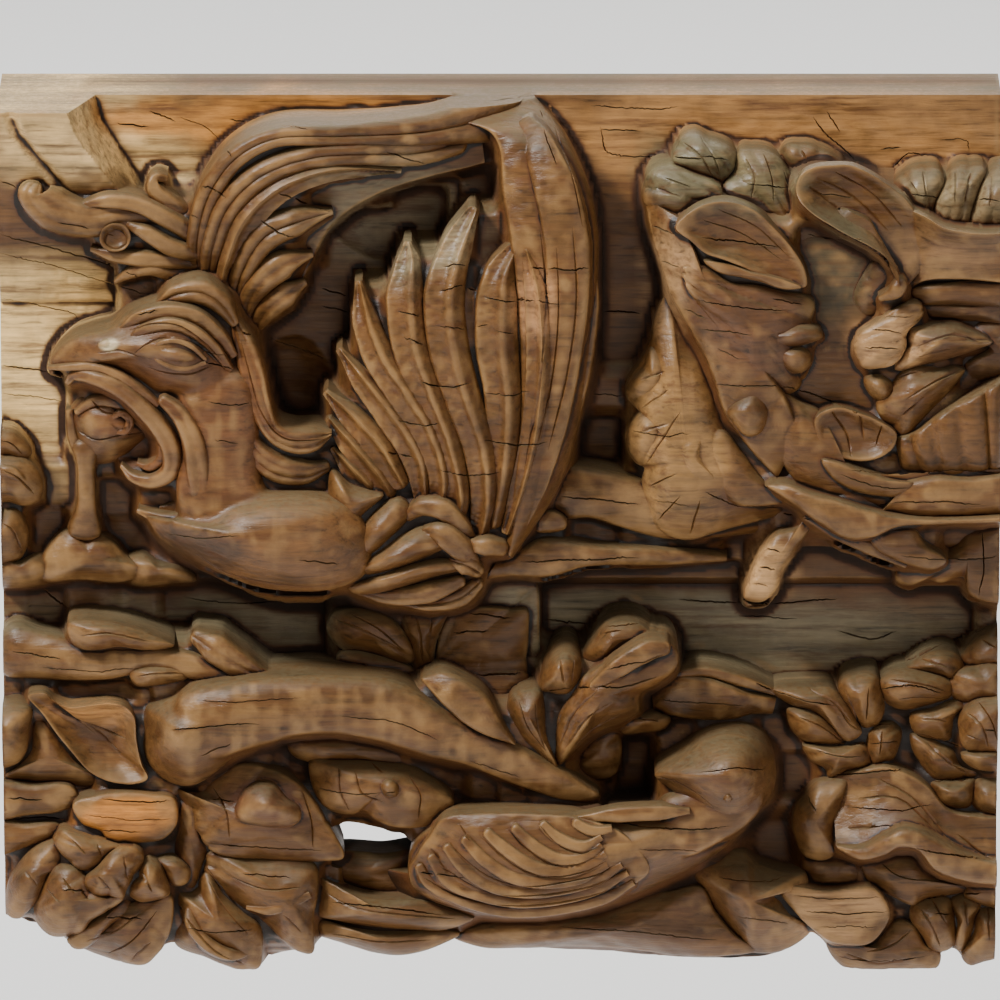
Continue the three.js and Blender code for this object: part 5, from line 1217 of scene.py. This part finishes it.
# Lines cut by the carver: a V groove along each line, width and depth in mm.
cuts = {
    "width": 1.5,
    "depth": 0.9,
    "lines": [
        [(132, 331), (157, 325), (182, 328), (208, 346), (224, 362)],
        [(135, 356), (149, 345), (168, 339), (196, 344), (218, 362)],
        [(150, 368), (170, 374), (196, 374), (214, 366)],
        [(100, 354), (122, 352), (142, 358)],
        [(196, 553), (224, 571), (267, 582), (303, 586)],
        [(76, 430), (96, 440), (120, 436), (146, 432)], [(92, 400), (104, 412), (118, 414)],
        [(2, 470), (18, 478), (34, 494)], [(0, 522), (12, 530), (20, 548)], [(0, 440), (12, 444), (22, 454)],
        [(242, 340), (252, 380), (262, 412), (284, 438), (328, 440)],
        [(642, 408), (668, 390)], [(645, 465), (680, 412)], [(640, 380), (664, 372)], [(640, 432), (668, 424)],
        [(658, 520), (680, 496)], [(690, 534), (700, 500)], [(650, 486), (676, 474)],
        [(680, 143), (700, 160), (712, 180)], [(700, 140), (712, 158), (718, 176)], [(664, 180), (690, 190)],
        [(655, 190), (680, 200)], [(744, 160), (752, 180), (750, 200)], [(762, 156), (770, 178), (772, 204)],
        [(782, 172), (788, 192), (790, 212)], [(800, 152), (806, 164)], [(820, 156), (812, 166)],
        [(904, 178), (916, 198)], [(920, 172), (924, 200)], [(952, 174), (952, 206)], [(968, 172), (962, 206)],
        [(988, 178), (986, 210)], [(1000, 176), (998, 212)],
        [(830, 412), (846, 436), (850, 456)], [(858, 416), (862, 440)], [(880, 426), (874, 446)],
        [(700, 222), (740, 236), (780, 262)], [(716, 212), (752, 228), (786, 258)],
        [(814, 182), (850, 200), (884, 232)], [(830, 174), (868, 196), (900, 230)], [(806, 190), (840, 214)],
        [(912, 348), (950, 336), (980, 344)], [(904, 400), (930, 384), (952, 374)], [(914, 358), (948, 350)],
        [(900, 416), (922, 398)], [(894, 378), (916, 372)],
        [(80, 636), (108, 634), (150, 642)], [(136, 677), (160, 674), (180, 674)],
        [(72, 720), (100, 730), (124, 740)], [(56, 712), (88, 728), (116, 752)],
        [(170, 900), (190, 930), (214, 956), (240, 968)], [(206, 884), (222, 910), (246, 938)],
        [(204, 870), (222, 894), (240, 916)], [(212, 790), (224, 812), (228, 840)],
        [(300, 790), (310, 820), (312, 850)], [(230, 880), (262, 892), (300, 890)], [(282, 918), (300, 936)],
        [(54, 856), (64, 866)], [(70, 842), (84, 856)], [(96, 846), (100, 858)], [(20, 872), (34, 888)],
        [(96, 878), (108, 892)], [(122, 858), (126, 880)], [(140, 874), (150, 894)],
        [(84, 944), (110, 936), (138, 916)], [(104, 958), (130, 944), (154, 914)], [(128, 964), (148, 946)],
        [(44, 892), (58, 906)], [(60, 880), (72, 896)], [(78, 890), (86, 902)],
        [(338, 769), (339, 792), (348, 812)], [(355, 774), (361, 794), (384, 804)], [(371, 764), (382, 774)],
        [(408, 776), (420, 796), (418, 820)],
        [(336, 620), (360, 630), (396, 648)], [(350, 614), (376, 628), (404, 652)], [(344, 662), (374, 668),
        (404, 676)], [(414, 612), (420, 636), (422, 664)], [(432, 610), (430, 636)],
        [(535, 700), (537, 723), (545, 750)], [(519, 702), (528, 728), (546, 752)],
        [(580, 684), (566, 704), (557, 728), (556, 752)], [(598, 690), (575, 712), (560, 744)],
        [(612, 702), (584, 722), (566, 748)], [(622, 714), (590, 732), (572, 752)], [(560, 658), (564, 684)],
        [(574, 660), (572, 682)], [(600, 634), (622, 630)], [(630, 718), (660, 722)],
        [(324, 896), (350, 910), (400, 918), (456, 922)], [(330, 938), (380, 946), (430, 944)],
        [(424, 880), (448, 894), (484, 905), (517, 908), (555, 905), (596, 896), (626, 882)],
        [(440, 868), (463, 883), (490, 895), (522, 898), (560, 894), (596, 886), (620, 874)],
        [(454, 850), (473, 868), (498, 882), (530, 888), (562, 884), (596, 876), (614, 866)],
        [(480, 836), (500, 856), (524, 872), (555, 878), (586, 872), (606, 862)],
        [(508, 830), (524, 848), (548, 864), (576, 866), (598, 856)], [(540, 826), (556, 844), (580, 854),
        (598, 848)], [(460, 826), (470, 842)], [(430, 850), (440, 862)],
        [(656, 777), (676, 782), (700, 796), (714, 808)], [(846, 690), (856, 712), (862, 728)],
        [(840, 706), (852, 726), (862, 732)], [(800, 718), (824, 728), (842, 742)], [(870, 688), (868, 720)],
        [(818, 752), (842, 758), (862, 758)], [(884, 732), (882, 756)], [(812, 690), (836, 704), (852, 722)],
        [(892, 680), (920, 684), (948, 692)], [(900, 700), (924, 698), (944, 700)], [(924, 660), (950, 668)],
        [(984, 640), (1000, 650)], [(924, 720), (948, 722)], [(964, 710), (982, 726), (990, 748)],
        [(980, 702), (992, 720), (1000, 744)], [(968, 736), (984, 742)], [(930, 744), (950, 762), (970, 776)],
        [(860, 800), (900, 800), (936, 830)], [(880, 780), (916, 800), (950, 840)], [(850, 830), (880, 828)],
        [(960, 836), (986, 856), (1000, 862)], [(924, 912), (936, 932), (944, 950)], [(936, 904), (950, 926)],
        [(968, 904), (972, 930)], [(992, 912), (994, 944)], [(870, 956), (894, 950), (916, 934)],
        [(850, 958), (880, 968), (920, 962)], [(880, 862), (900, 878), (926, 884)],
        [(112, 230), (124, 234), (128, 244), (118, 250), (108, 244), (110, 236), (118, 238)],
        [(116, 418), (126, 416), (130, 426), (120, 430), (112, 424)],
        [(548, 104), (558, 140), (572, 180), (582, 230)], [(540, 230), (546, 300), (540, 380), (524, 470)],
        [(556, 250), (558, 320), (548, 400), (528, 480)], [(572, 230), (576, 300), (568, 370), (548, 450)],
    ],
}

# Cracks opened by age: jagged, mostly along the beam.
cracks = {
    "width": 0.8,
    "depth": 2.2,
    "lines": [
        [(0, 182), (10, 185), (22, 190)], [(0, 235), (50, 248), (100, 262), (145, 280)],
        [(0, 253), (60, 268), (115, 285), (165, 300)], [(0, 297), (40, 306), (75, 315), (82, 333)],
        [(0, 365), (35, 370), (70, 376)], [(0, 393), (36, 397), (72, 402)],
        [(243, 333), (275, 340), (330, 360)], [(322, 288), (350, 296), (384, 298)],
        [(322, 306), (350, 312)], [(595, 310), (640, 313)], [(585, 393), (625, 396)],
        [(40, 590), (60, 606), (85, 617)], [(275, 193), (304, 204), (332, 214)], [(262, 222), (284, 236),
        (300, 240)], [(386, 154), (410, 162), (424, 166)], [(204, 188), (216, 192), (228, 200)],
        [(600, 128), (606, 152), (622, 156), (660, 158), (700, 161)], [(590, 106), (640, 110), (680, 108)],
        [(600, 130), (640, 132)], [(812, 118), (826, 136), (846, 152), (866, 176)], [(826, 112), (840, 134)],
        [(890, 170), (906, 155), (926, 156)], [(940, 140), (966, 142), (968, 153)], [(880, 150), (900, 148)],
        [(180, 118), (206, 128), (226, 148), (234, 160)], [(150, 112), (176, 122)], [(118, 124), (150, 128)],
        [(230, 120), (280, 128), (310, 132)], [(540, 112), (546, 140), (556, 168)],
        [(444, 268), (458, 266), (478, 269)], [(440, 292), (462, 288), (482, 294)], [(484, 298), (506, 303),
        (524, 300)], [(398, 312), (420, 318)], [(404, 338), (424, 346)], [(382, 336), (398, 342)],
        [(436, 326), (462, 330), (488, 326)], [(496, 332), (520, 336)], [(420, 382), (446, 388), (470, 384)],
        [(478, 392), (508, 396), (530, 392)], [(398, 420), (420, 426), (440, 424)], [(484, 440), (520, 446),
        (548, 442)], [(388, 452), (414, 458)], [(440, 470), (470, 476), (500, 472)], [(512, 300), (560, 306)],
        [(520, 268), (566, 272), (590, 270)], [(196, 351), (214, 354), (234, 357)], [(205, 362), (220, 366),
        (234, 370)], [(140, 316), (160, 312)], [(210, 402), (236, 406), (252, 402)],
        [(216, 440), (240, 444)], [(170, 534), (210, 538), (240, 536)], [(300, 560), (340, 564)],
        [(180, 212), (200, 220)], [(60, 224), (90, 230)],
        [(705, 492), (735, 505), (788, 507)], [(630, 430), (660, 436), (690, 434)], [(652, 500), (690, 506)],
        [(715, 385), (755, 387), (790, 388), (825, 400), (856, 413)], [(690, 300), (730, 308), (790, 312)],
        [(700, 330), (750, 336)], [(806, 236), (850, 242), (880, 240)], [(812, 196), (850, 200)],
        [(770, 300), (800, 306)], [(850, 470), (900, 474), (960, 470), (1000, 474)],
        [(860, 506), (920, 502), (980, 504)], [(700, 240), (740, 244), (780, 250)], [(700, 158), (726, 162)],
        [(745, 186), (790, 190)], [(906, 196), (936, 200)], [(970, 200), (1000, 204)],
        [(780, 512), (810, 520)], [(900, 556), (960, 560), (1000, 556)], [(980, 520), (984, 560), (980, 596)],
        [(560, 496), (600, 500), (640, 504)], [(520, 562), (580, 560), (640, 558)],
        [(466, 613), (490, 616), (512, 619)], [(453, 633), (489, 631)], [(476, 676), (522, 674)],
        [(402, 684), (420, 684)], [(546, 620), (600, 626), (660, 622)], [(680, 600), (760, 604), (840, 600)],
        [(840, 632), (880, 640), (900, 632)], [(180, 598), (240, 604), (310, 600)], [(740, 616), (800, 620)],
        [(542, 692), (570, 688), (598, 687), (621, 688), (657, 677)], [(606, 669), (640, 662), (672, 653)],
        [(0, 822), (30, 820), (60, 821)], [(4, 800), (40, 802)], [(40, 668), (90, 672), (140, 668)],
        [(10, 652), (60, 660)], [(196, 700), (240, 702), (300, 698)], [(170, 730), (220, 726), (260, 724)],
        [(340, 716), (400, 724), (440, 742)], [(470, 762), (520, 778)], [(200, 756), (230, 744)],
        [(100, 800), (140, 804), (168, 802)], [(84, 816), (130, 822), (170, 820)], [(96, 832), (140, 834)],
        [(206, 845), (260, 850), (320, 852)], [(210, 800), (236, 804)], [(240, 876), (290, 880)],
        [(180, 930), (214, 936), (250, 934)], [(100, 920), (140, 922)], [(60, 892), (84, 894)],
        [(318, 790), (360, 796), (400, 792)], [(330, 905), (380, 910), (440, 918)], [(420, 874), (470, 880)],
        [(620, 824), (680, 830), (730, 828)], [(700, 772), (740, 768), (766, 770)], [(640, 850), (700, 852)],
        [(560, 930), (640, 936), (720, 944)], [(720, 880), (760, 884), (790, 880)], [(740, 920), (790, 926)],
        [(657, 700), (700, 704), (745, 706)], [(758, 684), (776, 692), (800, 700), (836, 706)],
        [(806, 744), (850, 746), (902, 742)], [(875, 726), (902, 725)], [(832, 776), (880, 774), (914, 768)],
        [(850, 808), (900, 812), (934, 806)], [(809, 794), (813, 806), (818, 813)], [(866, 830), (900, 826)],
        [(880, 690), (910, 686), (944, 694)], [(914, 733), (940, 740), (962, 748)], [(935, 783), (976, 781)],
        [(930, 902), (960, 898), (985, 896)], [(900, 846), (950, 856), (1000, 862)], [(985, 730), (1000, 732)],
        [(842, 962), (890, 966), (930, 960)], [(938, 916), (954, 918)], [(908, 662), (940, 648), (1000, 624)],
        [(796, 898), (840, 902), (884, 900)], [(806, 914), (850, 917), (890, 914)], [(820, 930), (880, 930)],
        [(766, 548), (780, 552)], [(756, 566), (776, 570)], [(750, 582), (768, 586)],
        [(868, 330), (900, 334)], [(862, 348), (896, 350)], [(872, 318), (912, 318)],
        [(838, 474), (880, 488), (908, 488)], [(648, 226), (672, 236)], [(660, 262), (680, 270)],
        [(684, 310), (704, 320)], [(716, 350), (738, 360)],
    ],
}


# Where a line on the drawing meets the carving, seen from the front: which solid, where, and how
# the surface faces there.
trees = {}
depsgraph = bpy.context.evaluated_depsgraph_get()
for name, solid in solids.items():
    trees[name] = BVHTree.FromObject(solid, depsgraph)
sightLine = Vector((0, sightCos, -math.sin(math.radians(setting["sightAngle"]))))


def surfaceUnder(across, down):
    start = Vector(setOut([(across, down, 150)])[0])
    nearest = None
    for name, tree in trees.items():
        point, normal, _, distance = tree.ray_cast(start, sightLine)
        if point is not None and (nearest is None or distance < nearest[3]):
            nearest = (name, point, normal, distance)
    return nearest


# A wedge along a line of surface points: corners = point +- side half (1 + lift / depth) at the
# lift above the surface and point - out depth below it, narrowing to nothing at both ends.
def wedge(points, normals, width, depth):
    points, normals = np.array(points), np.array(normals)
    for _ in range(3):
        normals[1:-1] = (normals[:-2] + normals[1:-1] * 2 + normals[2:]) / 4
    run = np.concatenate([[0], np.cumsum(np.linalg.norm(np.diff(points, axis=0), axis=1))])
    share = run / run[-1]
    tangent = np.gradient(points, axis=0)
    tangent /= np.linalg.norm(tangent, axis=1)[:, None]
    out = normals - tangent * np.einsum("ij,ij->i", normals, tangent)[:, None]
    out /= np.linalg.norm(out, axis=1)[:, None]
    side = np.cross(tangent, out)
    taper = np.clip(np.minimum(share, 1 - share) * 5, 0.06, 1) ** 0.7
    deep = (depth / 1000 * taper)[:, None]
    lift = 0.0006
    half = (width / 2000 * taper)[:, None] * (1 + lift / deep)
    half = np.minimum(half, width / 2000 * 2.4)
    corners = [points + side * half + out * lift, points - out * deep, points - side * half + out * lift]
    return closeRings(np.stack(corners, axis=1))


def cutLines(table, jitter, seed):
    random = np.random.default_rng(seed)
    made = {name: [] for name in solids}
    for line in table["lines"]:
        line = np.array(line, float)
        length = np.linalg.norm(np.diff(line, axis=0), axis=1).sum()
        count = max(5, int(length / 2.4))
        path = curveThrough(line, np.linspace(0, 1, count))
        wander = random.normal(0, jitter, (count, 2)) * (0.6, 1.0)
        path = path + wander + jitter * 1.6 * np.sin(np.linspace(0, random.uniform(6, 16), count))[:, None]
        hits = [surfaceUnder(across, down) for across, down in path]
        run = []
        for hit in hits + [None]:
            same = run and hit and hit[0] == run[-1][0] and abs(hit[3] - run[-1][3]) < 0.0022
            if run and not same:
                if len(run) >= 4:
                    shell = wedge([h[1] for h in run], [h[2] for h in run], table["width"] * random.uniform(0.6, 1.3),
                                  table["depth"])
                    made[run[0][0]].append(shell)
                run = []
            if hit:
                run.append(hit)
    return made


print("cutting the lines and cracks")
for table, jitter, seed in ((cuts, 0.10, 3), (cracks, 0.34, 4)):
    grooves = cutLines(table, jitter, seed)
    for name, shells in grooves.items():
        if shells:
            solid = solids[name]
            whole = solid.data.copy()
            cut = combined([whole] + [meshOf("line", shell) for shell in shells], "DIFFERENCE")
            bpy.data.objects.remove(solid)
            solids[name] = placed(name, cut)
            print(name, len(shells), "lines")
    if table is cuts:
        depsgraph = bpy.context.evaluated_depsgraph_get()
        for name, solid in solids.items():
            trees[name] = BVHTree.FromObject(solid, depsgraph)


def positionsOf(mesh):
    vertices = np.empty(len(mesh.vertices) * 3, np.float32)
    mesh.vertices.foreach_get("co", vertices)
    return vertices.reshape(-1, 3).astype(float)


frontMap = frontMapOf([positionsOf(solid.data) for solid in solids.values()])
smoothFine, smoothMiddle, smoothBroad = [smoothed(frontMap, radius) for radius in (1.6, 4.5, 13)]

# Colours laid over the wood in soft patches, paler or darker than the rest: across, down, half sizes, colour and
# strength, laid over one another in this order.
woodPatches = {
    "wood": (0.118, 0.052, 0.015),
    "patches": [
        (60, 260, 150, 210, (0.78, 0.51, 0.200), 0.95),
        (60, 130, 90, 60, (0.66, 0.43, 0.18), 0.9),
        (260, 116, 200, 26, (0.44, 0.19, 0.042), 0.9),
        (790, 140, 270, 60, (0.34, 0.165, 0.052), 0.9),
        (400, 220, 80, 60, (0.22, 0.17, 0.095), 0.8),
        (500, 640, 560, 50, (0.230, 0.185, 0.105), 0.85),
        (190, 420, 100, 90, (0.125, 0.046, 0.015), 0.7),
        (290, 545, 100, 46, (0.165, 0.072, 0.022), 0.7),
        (196, 556, 50, 34, (0.060, 0.028, 0.012), 0.7),
        (450, 400, 120, 170, (0.200, 0.110, 0.046), 0.5),
        (690, 170, 50, 40, (0.135, 0.118, 0.062), 0.8),
        (760, 185, 46, 36, (0.150, 0.120, 0.058), 0.8),
        (960, 195, 70, 28, (0.220, 0.170, 0.090), 0.7),
        (940, 255, 80, 28, (0.210, 0.115, 0.050), 0.6),
        (760, 330, 56, 50, (0.120, 0.050, 0.022), 0.6),
        (832, 270, 36, 60, (0.085, 0.066, 0.034), 0.8),
        (966, 340, 56, 46, (0.085, 0.040, 0.018), 0.7),
        (664, 450, 56, 90, (0.270, 0.145, 0.050), 0.8),
        (890, 450, 130, 62, (0.420, 0.235, 0.095), 0.8),
        (124, 818, 56, 26, (0.52, 0.20, 0.040), 0.95),
        (88, 712, 46, 14, (0.52, 0.25, 0.085), 0.85),
        (268, 806, 36, 22, (0.085, 0.030, 0.014), 0.8),
        (838, 916, 58, 30, (0.44, 0.25, 0.110), 0.8),
        (536, 306, 26, 36, (0.40, 0.20, 0.085), 0.7),
        (884, 342, 34, 30, (0.48, 0.27, 0.115), 0.8),
        (768, 572, 30, 34, (0.44, 0.25, 0.105), 0.8),
        (668, 280, 26, 60, (0.38, 0.22, 0.100), 0.6),
        (112, 346, 9, 7, (0.60, 0.48, 0.28), 0.9),
    ],
}


# Hollow and ridge compare a vertex with the smoothed map; walls that face aside count for less. The material paints
# shade from them into hollows and grooves, and a highlight with the wear onto ridges.
def shadeOf(vertices, normals):
    across, down, proud = readOff(vertices)
    back = np.clip((proud + 44) / 16, 0, 1) * (np.abs(vertices[:, 0]) < halfLength - 0.0006)
    hollow = np.clip((readMap(smoothBroad, across, down) - proud - 8) / 30, 0, 1) * 0.25
    hollow += np.clip((readMap(smoothMiddle, across, down) - proud - 3.0) / 12, 0, 1) * 0.6
    ridge = np.clip((proud - readMap(smoothFine, across, down)) / 1.6, -1, 1)
    ridge = ridge * np.clip(-normals[:, 1] * 2 - 0.5, 0, 1)
    colour = np.tile(np.array(woodPatches["wood"]), (len(vertices), 1))
    wander = 22 * unevenness(across / 40, down / 26, 31) + 8 * unevenness(across / 11, down / 7, 32)
    for a, d, halfA, halfD, tone, strength in woodPatches["patches"]:
        near = min(1.0, halfA / 90)
        r = np.sqrt(((across + wander * near - a) / halfA) ** 2 + ((down + 0.5 * wander * near - d) / halfD) ** 2)
        weight = strength * np.clip((1.25 - r) / 0.5, 0, 1) ** 1.3
        if halfA > 100 and d < 700:
            weight = weight * np.clip((16 - proud) / 8, 0, 1)
        colour = colour * (1 - weight[:, None]) + np.array(tone) * weight[:, None]
    return colour, hollow * back, 0.5 + 0.5 * ridge * back


# Nodes are made by name and joined by hand here, so that the material reads as a list.
def node(tree, kind, inputs=None, **settings):
    made = tree.nodes.new(kind)
    for key, value in settings.items():
        setattr(made, key, value)
    for key, value in (inputs or {}).items():
        if isinstance(value, bpy.types.NodeSocket):
            tree.links.new(value, made.inputs[key])
        else:
            made.inputs[key].default_value = value
    return made


def ramp(tree, source, stops):
    made = node(tree, "ShaderNodeValToRGB", {0: source})
    made.color_ramp.elements[0].position, made.color_ramp.elements[1].position = stops[0][0], stops[-1][0]
    made.color_ramp.elements[0].color = (*[stops[0][1]] * 3, 1)
    made.color_ramp.elements[1].color = (*[stops[-1][1]] * 3, 1)
    for position, value in stops[1:-1]:
        made.color_ramp.elements.new(position).color = (value, value, value, 1)
    return made.outputs["Color"]


def mixed(tree, factor, first, second, blend="MIX"):
    made = node(tree, "ShaderNodeMix", data_type="RGBA", blend_type=blend)
    for index, value in ((0, factor), (6, first), (7, second)):
        if isinstance(value, bpy.types.NodeSocket):
            tree.links.new(value, made.inputs[index])
        else:
            made.inputs[index].default_value = value if index == 0 else (*value, 1)
    return made.outputs[2]


def maths(tree, operation, first, second):
    return node(tree, "ShaderNodeMath", {0: first, 1: second}, operation=operation, use_clamp=True).outputs[0]


agedWoodAndPaintedLight = {
    # near black grime, also painted shade in deep hollows and at the bottom of grooves
    "grimeAndShade": (0.014, 0.0080, 0.0045),
    "stainAndShade": (0.085, 0.030, 0.010),      # red brown: streaks along the grain, and painted shade in the shallow hollows and grooves
    "dust": (0.130, 0.108, 0.054),
    # pale wear, also a painted highlight on ridges that face the front
    "wornAndHighlight": (0.290, 0.160, 0.058),
}


def agedWoodAndPaintedLightMaterial():
    material = bpy.data.materials.new("agedWoodAndPaintedLight")
    material.use_nodes = True
    tree = material.node_tree
    tree.nodes.clear()
    place = node(tree, "ShaderNodeTexCoord").outputs["Object"]
    alongGrain = node(tree, "ShaderNodeMapping", {"Vector": place, "Scale": (0.07, 1, 1)}).outputs[0]
    streaks = node(tree, "ShaderNodeTexNoise", {"Vector": alongGrain, "Scale": 330, "Detail": 5,
                                                "Roughness": 0.62, "Distortion": 0.4}).outputs[0]
    bands = node(tree, "ShaderNodeTexNoise", {"Vector": alongGrain, "Scale": 70, "Detail": 4,
                                              "Roughness": 0.55, "Distortion": 0.8}).outputs[0]
    blotches = node(tree, "ShaderNodeTexNoise", {"Vector": place, "Scale": 42, "Detail": 5,
                                                 "Roughness": 0.6}).outputs[0]
    specks = node(tree, "ShaderNodeTexNoise", {"Vector": place, "Scale": 420, "Detail": 3,
                                               "Roughness": 0.7}).outputs[0]
    tint = node(tree, "ShaderNodeAttribute", attribute_name="tint").outputs["Color"]
    hollow = node(tree, "ShaderNodeAttribute", attribute_name="hollow").outputs["Fac"]
    ridge = node(tree, "ShaderNodeAttribute", attribute_name="ridge").outputs["Fac"]
    colour = mixed(tree, 1.0, tint, ramp(tree, streaks, [(0.30, 0.38), (0.42, 0.84), (0.52, 1.0), (0.72, 1.22)]), "MULTIPLY")
    colour = mixed(tree, 1.0, colour, ramp(tree, bands, [(0.28, 0.62), (0.5, 1.0), (0.74, 1.3)]), "MULTIPLY")
    colour = mixed(tree, 1.0, colour, ramp(tree, blotches, [(0.3, 0.72), (0.5, 1.0), (0.7, 1.15)]), "MULTIPLY")
    remnants = node(tree, "ShaderNodeTexNoise", {"Vector": alongGrain, "Scale": 190, "Detail": 6,
                                                 "Roughness": 0.7}).outputs[0]
    colour = mixed(tree, ramp(tree, remnants, [(0.5, 0), (0.68, 0.75)]), colour, agedWoodAndPaintedLight["stainAndShade"])
    facing = node(tree, "ShaderNodeNewGeometry").outputs["Normal"]
    upward = node(tree, "ShaderNodeSeparateXYZ", {0: facing}).outputs["Z"]
    dusty = maths(tree, "MULTIPLY", ramp(tree, upward, [(0.35, 0), (0.95, 0.6)]),
                  ramp(tree, specks, [(0.3, 0.35), (0.6, 1)]))
    colour = mixed(tree, dusty, colour, agedWoodAndPaintedLight["dust"])
    # Pale worn colour on ridges that face the front: partly wear, partly a painted highlight.
    high = maths(tree, "MULTIPLY", ramp(tree, ridge, [(0.64, 0), (0.95, 1)]),
                 ramp(tree, blotches, [(0.36, 0.15), (0.62, 0.7)]))
    colour = mixed(tree, high, colour, agedWoodAndPaintedLight["wornAndHighlight"])
    # Painted shade in the cut lines and cracks: below its close neighbours the surface turns red brown, and near black
    # at the bottom, mixed with grime.
    low = ramp(tree, ridge, [(0.16, 0.9), (0.45, 0)])
    colour = mixed(tree, low, colour, agedWoodAndPaintedLight["stainAndShade"])
    deep = ramp(tree, ridge, [(0.04, 1), (0.2, 0)])
    colour = mixed(tree, deep, colour, agedWoodAndPaintedLight["grimeAndShade"])
    # Painted shade in the hollows: where a vertex lies below the smoothed map it turns red brown, then near black,
    # mixed with grime.
    hollowStainAndShade = maths(tree, "MULTIPLY", ramp(tree, hollow, [(0.04, 0), (0.45, 0.7)]),
                     ramp(tree, blotches, [(0.35, 0.3), (0.6, 1)]))
    colour = mixed(tree, hollowStainAndShade, colour, agedWoodAndPaintedLight["stainAndShade"])
    hollowGrimeAndShade = maths(tree, "MULTIPLY", ramp(tree, hollow, [(0.22, 0), (0.7, 0.75), (1.0, 0.95)]),
                   ramp(tree, specks, [(0.25, 0.8), (0.6, 1)]))
    colour = mixed(tree, hollowGrimeAndShade, colour, agedWoodAndPaintedLight["grimeAndShade"])
    gloss = ramp(tree, hollow, [(0.0, 0.36), (0.5, 0.8)])
    gloss = mixed(tree, dusty, gloss, (0.9, 0.9, 0.9))
    bump = node(tree, "ShaderNodeBump", {"Height": streaks, "Strength": 0.7, "Distance": 0.0006})
    bump = node(tree, "ShaderNodeBump", {"Height": specks, "Strength": 0.18, "Distance": 0.0004,
                                         "Normal": bump.outputs[0]})
    shader = node(tree, "ShaderNodeBsdfPrincipled", {"Base Color": colour, "Roughness": gloss,
                                                     "Specular IOR Level": 0.3,
                                                     "Normal": bump.outputs[0]})
    node(tree, "ShaderNodeOutputMaterial", {"Surface": shader.outputs[0]})
    return material


wood = agedWoodAndPaintedLightMaterial()


def finishPiece(name, piece):
    mesh = piece.data
    mesh.validate()
    mesh.shade_smooth()
    mesh.set_sharp_from_angle(angle=math.radians(50))
    normals = np.empty(len(mesh.vertices) * 3, np.float32)
    mesh.vertices.foreach_get("normal", normals)
    colour, hollow, ridge = shadeOf(positionsOf(mesh), normals.reshape(-1, 3))
    tint = mesh.attributes.new("tint", "FLOAT_COLOR", "POINT")
    tint.data.foreach_set("color", np.column_stack([colour, np.ones(len(colour))]).astype(np.float32).ravel())
    for label, values in (("hollow", hollow), ("ridge", ridge)):
        mesh.attributes.new(label, "FLOAT", "POINT").data.foreach_set("value", values.astype(np.float32))
    mesh.materials.clear()
    mesh.materials.append(wood)
    mesh.name = name
    piece.name = name
    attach(piece, "root")
    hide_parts("carved_lintel")
    triangles = sum(len(polygon.vertices) - 2 for polygon in mesh.polygons)
    print(name, triangles, "triangles")
    return triangles


print("finishing", sum(finishPiece(name, piece) for name, piece in solids.items()), "triangles in all")

# Camera, light and floor
studio = {
    "aim": (500, 500, 30),      # drawing across, down, proud
    "distance": 7.0,
    "lens": 504,                # 36 mm sensor: 0.5 m fills the frame
    "floor": -0.62,
    "lamps": {                  # where, its width, its power, what it shines on
        "key": ((-1.6, -1.3, 2.1), 0.5, 132, (0, -0.05, 0)),
        "fill": ((1.6, -3.0, 0.6), 2.4, 20, (0, -0.05, 0)),
        "top": ((0.1, -0.3, 2.4), 1.2, 22, (0, -0.05, 0)),
        "floorLamp": ((0, 3.0, 2.4), 2.5, 160, (0, 3.0, -0.6)),
    },
    "sky": 0.34,
}


def aimed(thing, target):
    direction = Vector(target) - thing.location
    thing.rotation_euler = direction.to_track_quat("-Z", "Y").to_euler()


aim = Vector(setOut([studio["aim"]])[0])
camera = bpy.data.objects.new("camera", bpy.data.cameras.new("camera"))
bpy.context.scene.collection.objects.link(camera)
sight = math.radians(setting["sightAngle"])
camera.location = aim + Vector((0, -math.cos(sight), math.sin(sight))) * studio["distance"]
aimed(camera, aim)
camera.data.lens = studio["lens"]
camera.data.sensor_width = 36
camera.data.clip_end = 60
bpy.context.scene.camera = camera

for label, (place, size, power, target) in studio["lamps"].items():
    lamp = bpy.data.objects.new(label, bpy.data.lights.new(label, "AREA"))
    bpy.context.scene.collection.objects.link(lamp)
    lamp.location = place
    lamp.data.size = size
    lamp.data.energy = power
    aimed(lamp, target)

world = bpy.data.worlds.new("studio")
bpy.context.scene.world = world
world.use_nodes = True
world.node_tree.nodes["Background"].inputs[0].default_value = (1, 0.98, 0.95, 1)
world.node_tree.nodes["Background"].inputs[1].default_value = studio["sky"]

floorMesh = bpy.data.meshes.new("floor")
floorMesh.from_pydata([(-20, -20, studio["floor"]), (20, -20, studio["floor"]), (20, 20, studio["floor"]),
                       (-20, 20, studio["floor"])], [], [(0, 1, 2, 3)])
floor = placed("floor", floorMesh)
paint = bpy.data.materials.new("paleFloor")
paint.use_nodes = True
paint.node_tree.nodes["Principled BSDF"].inputs["Base Color"].default_value = (0.82, 0.81, 0.79, 1)
paint.node_tree.nodes["Principled BSDF"].inputs["Roughness"].default_value = 0.9
floorMesh.materials.append(paint)
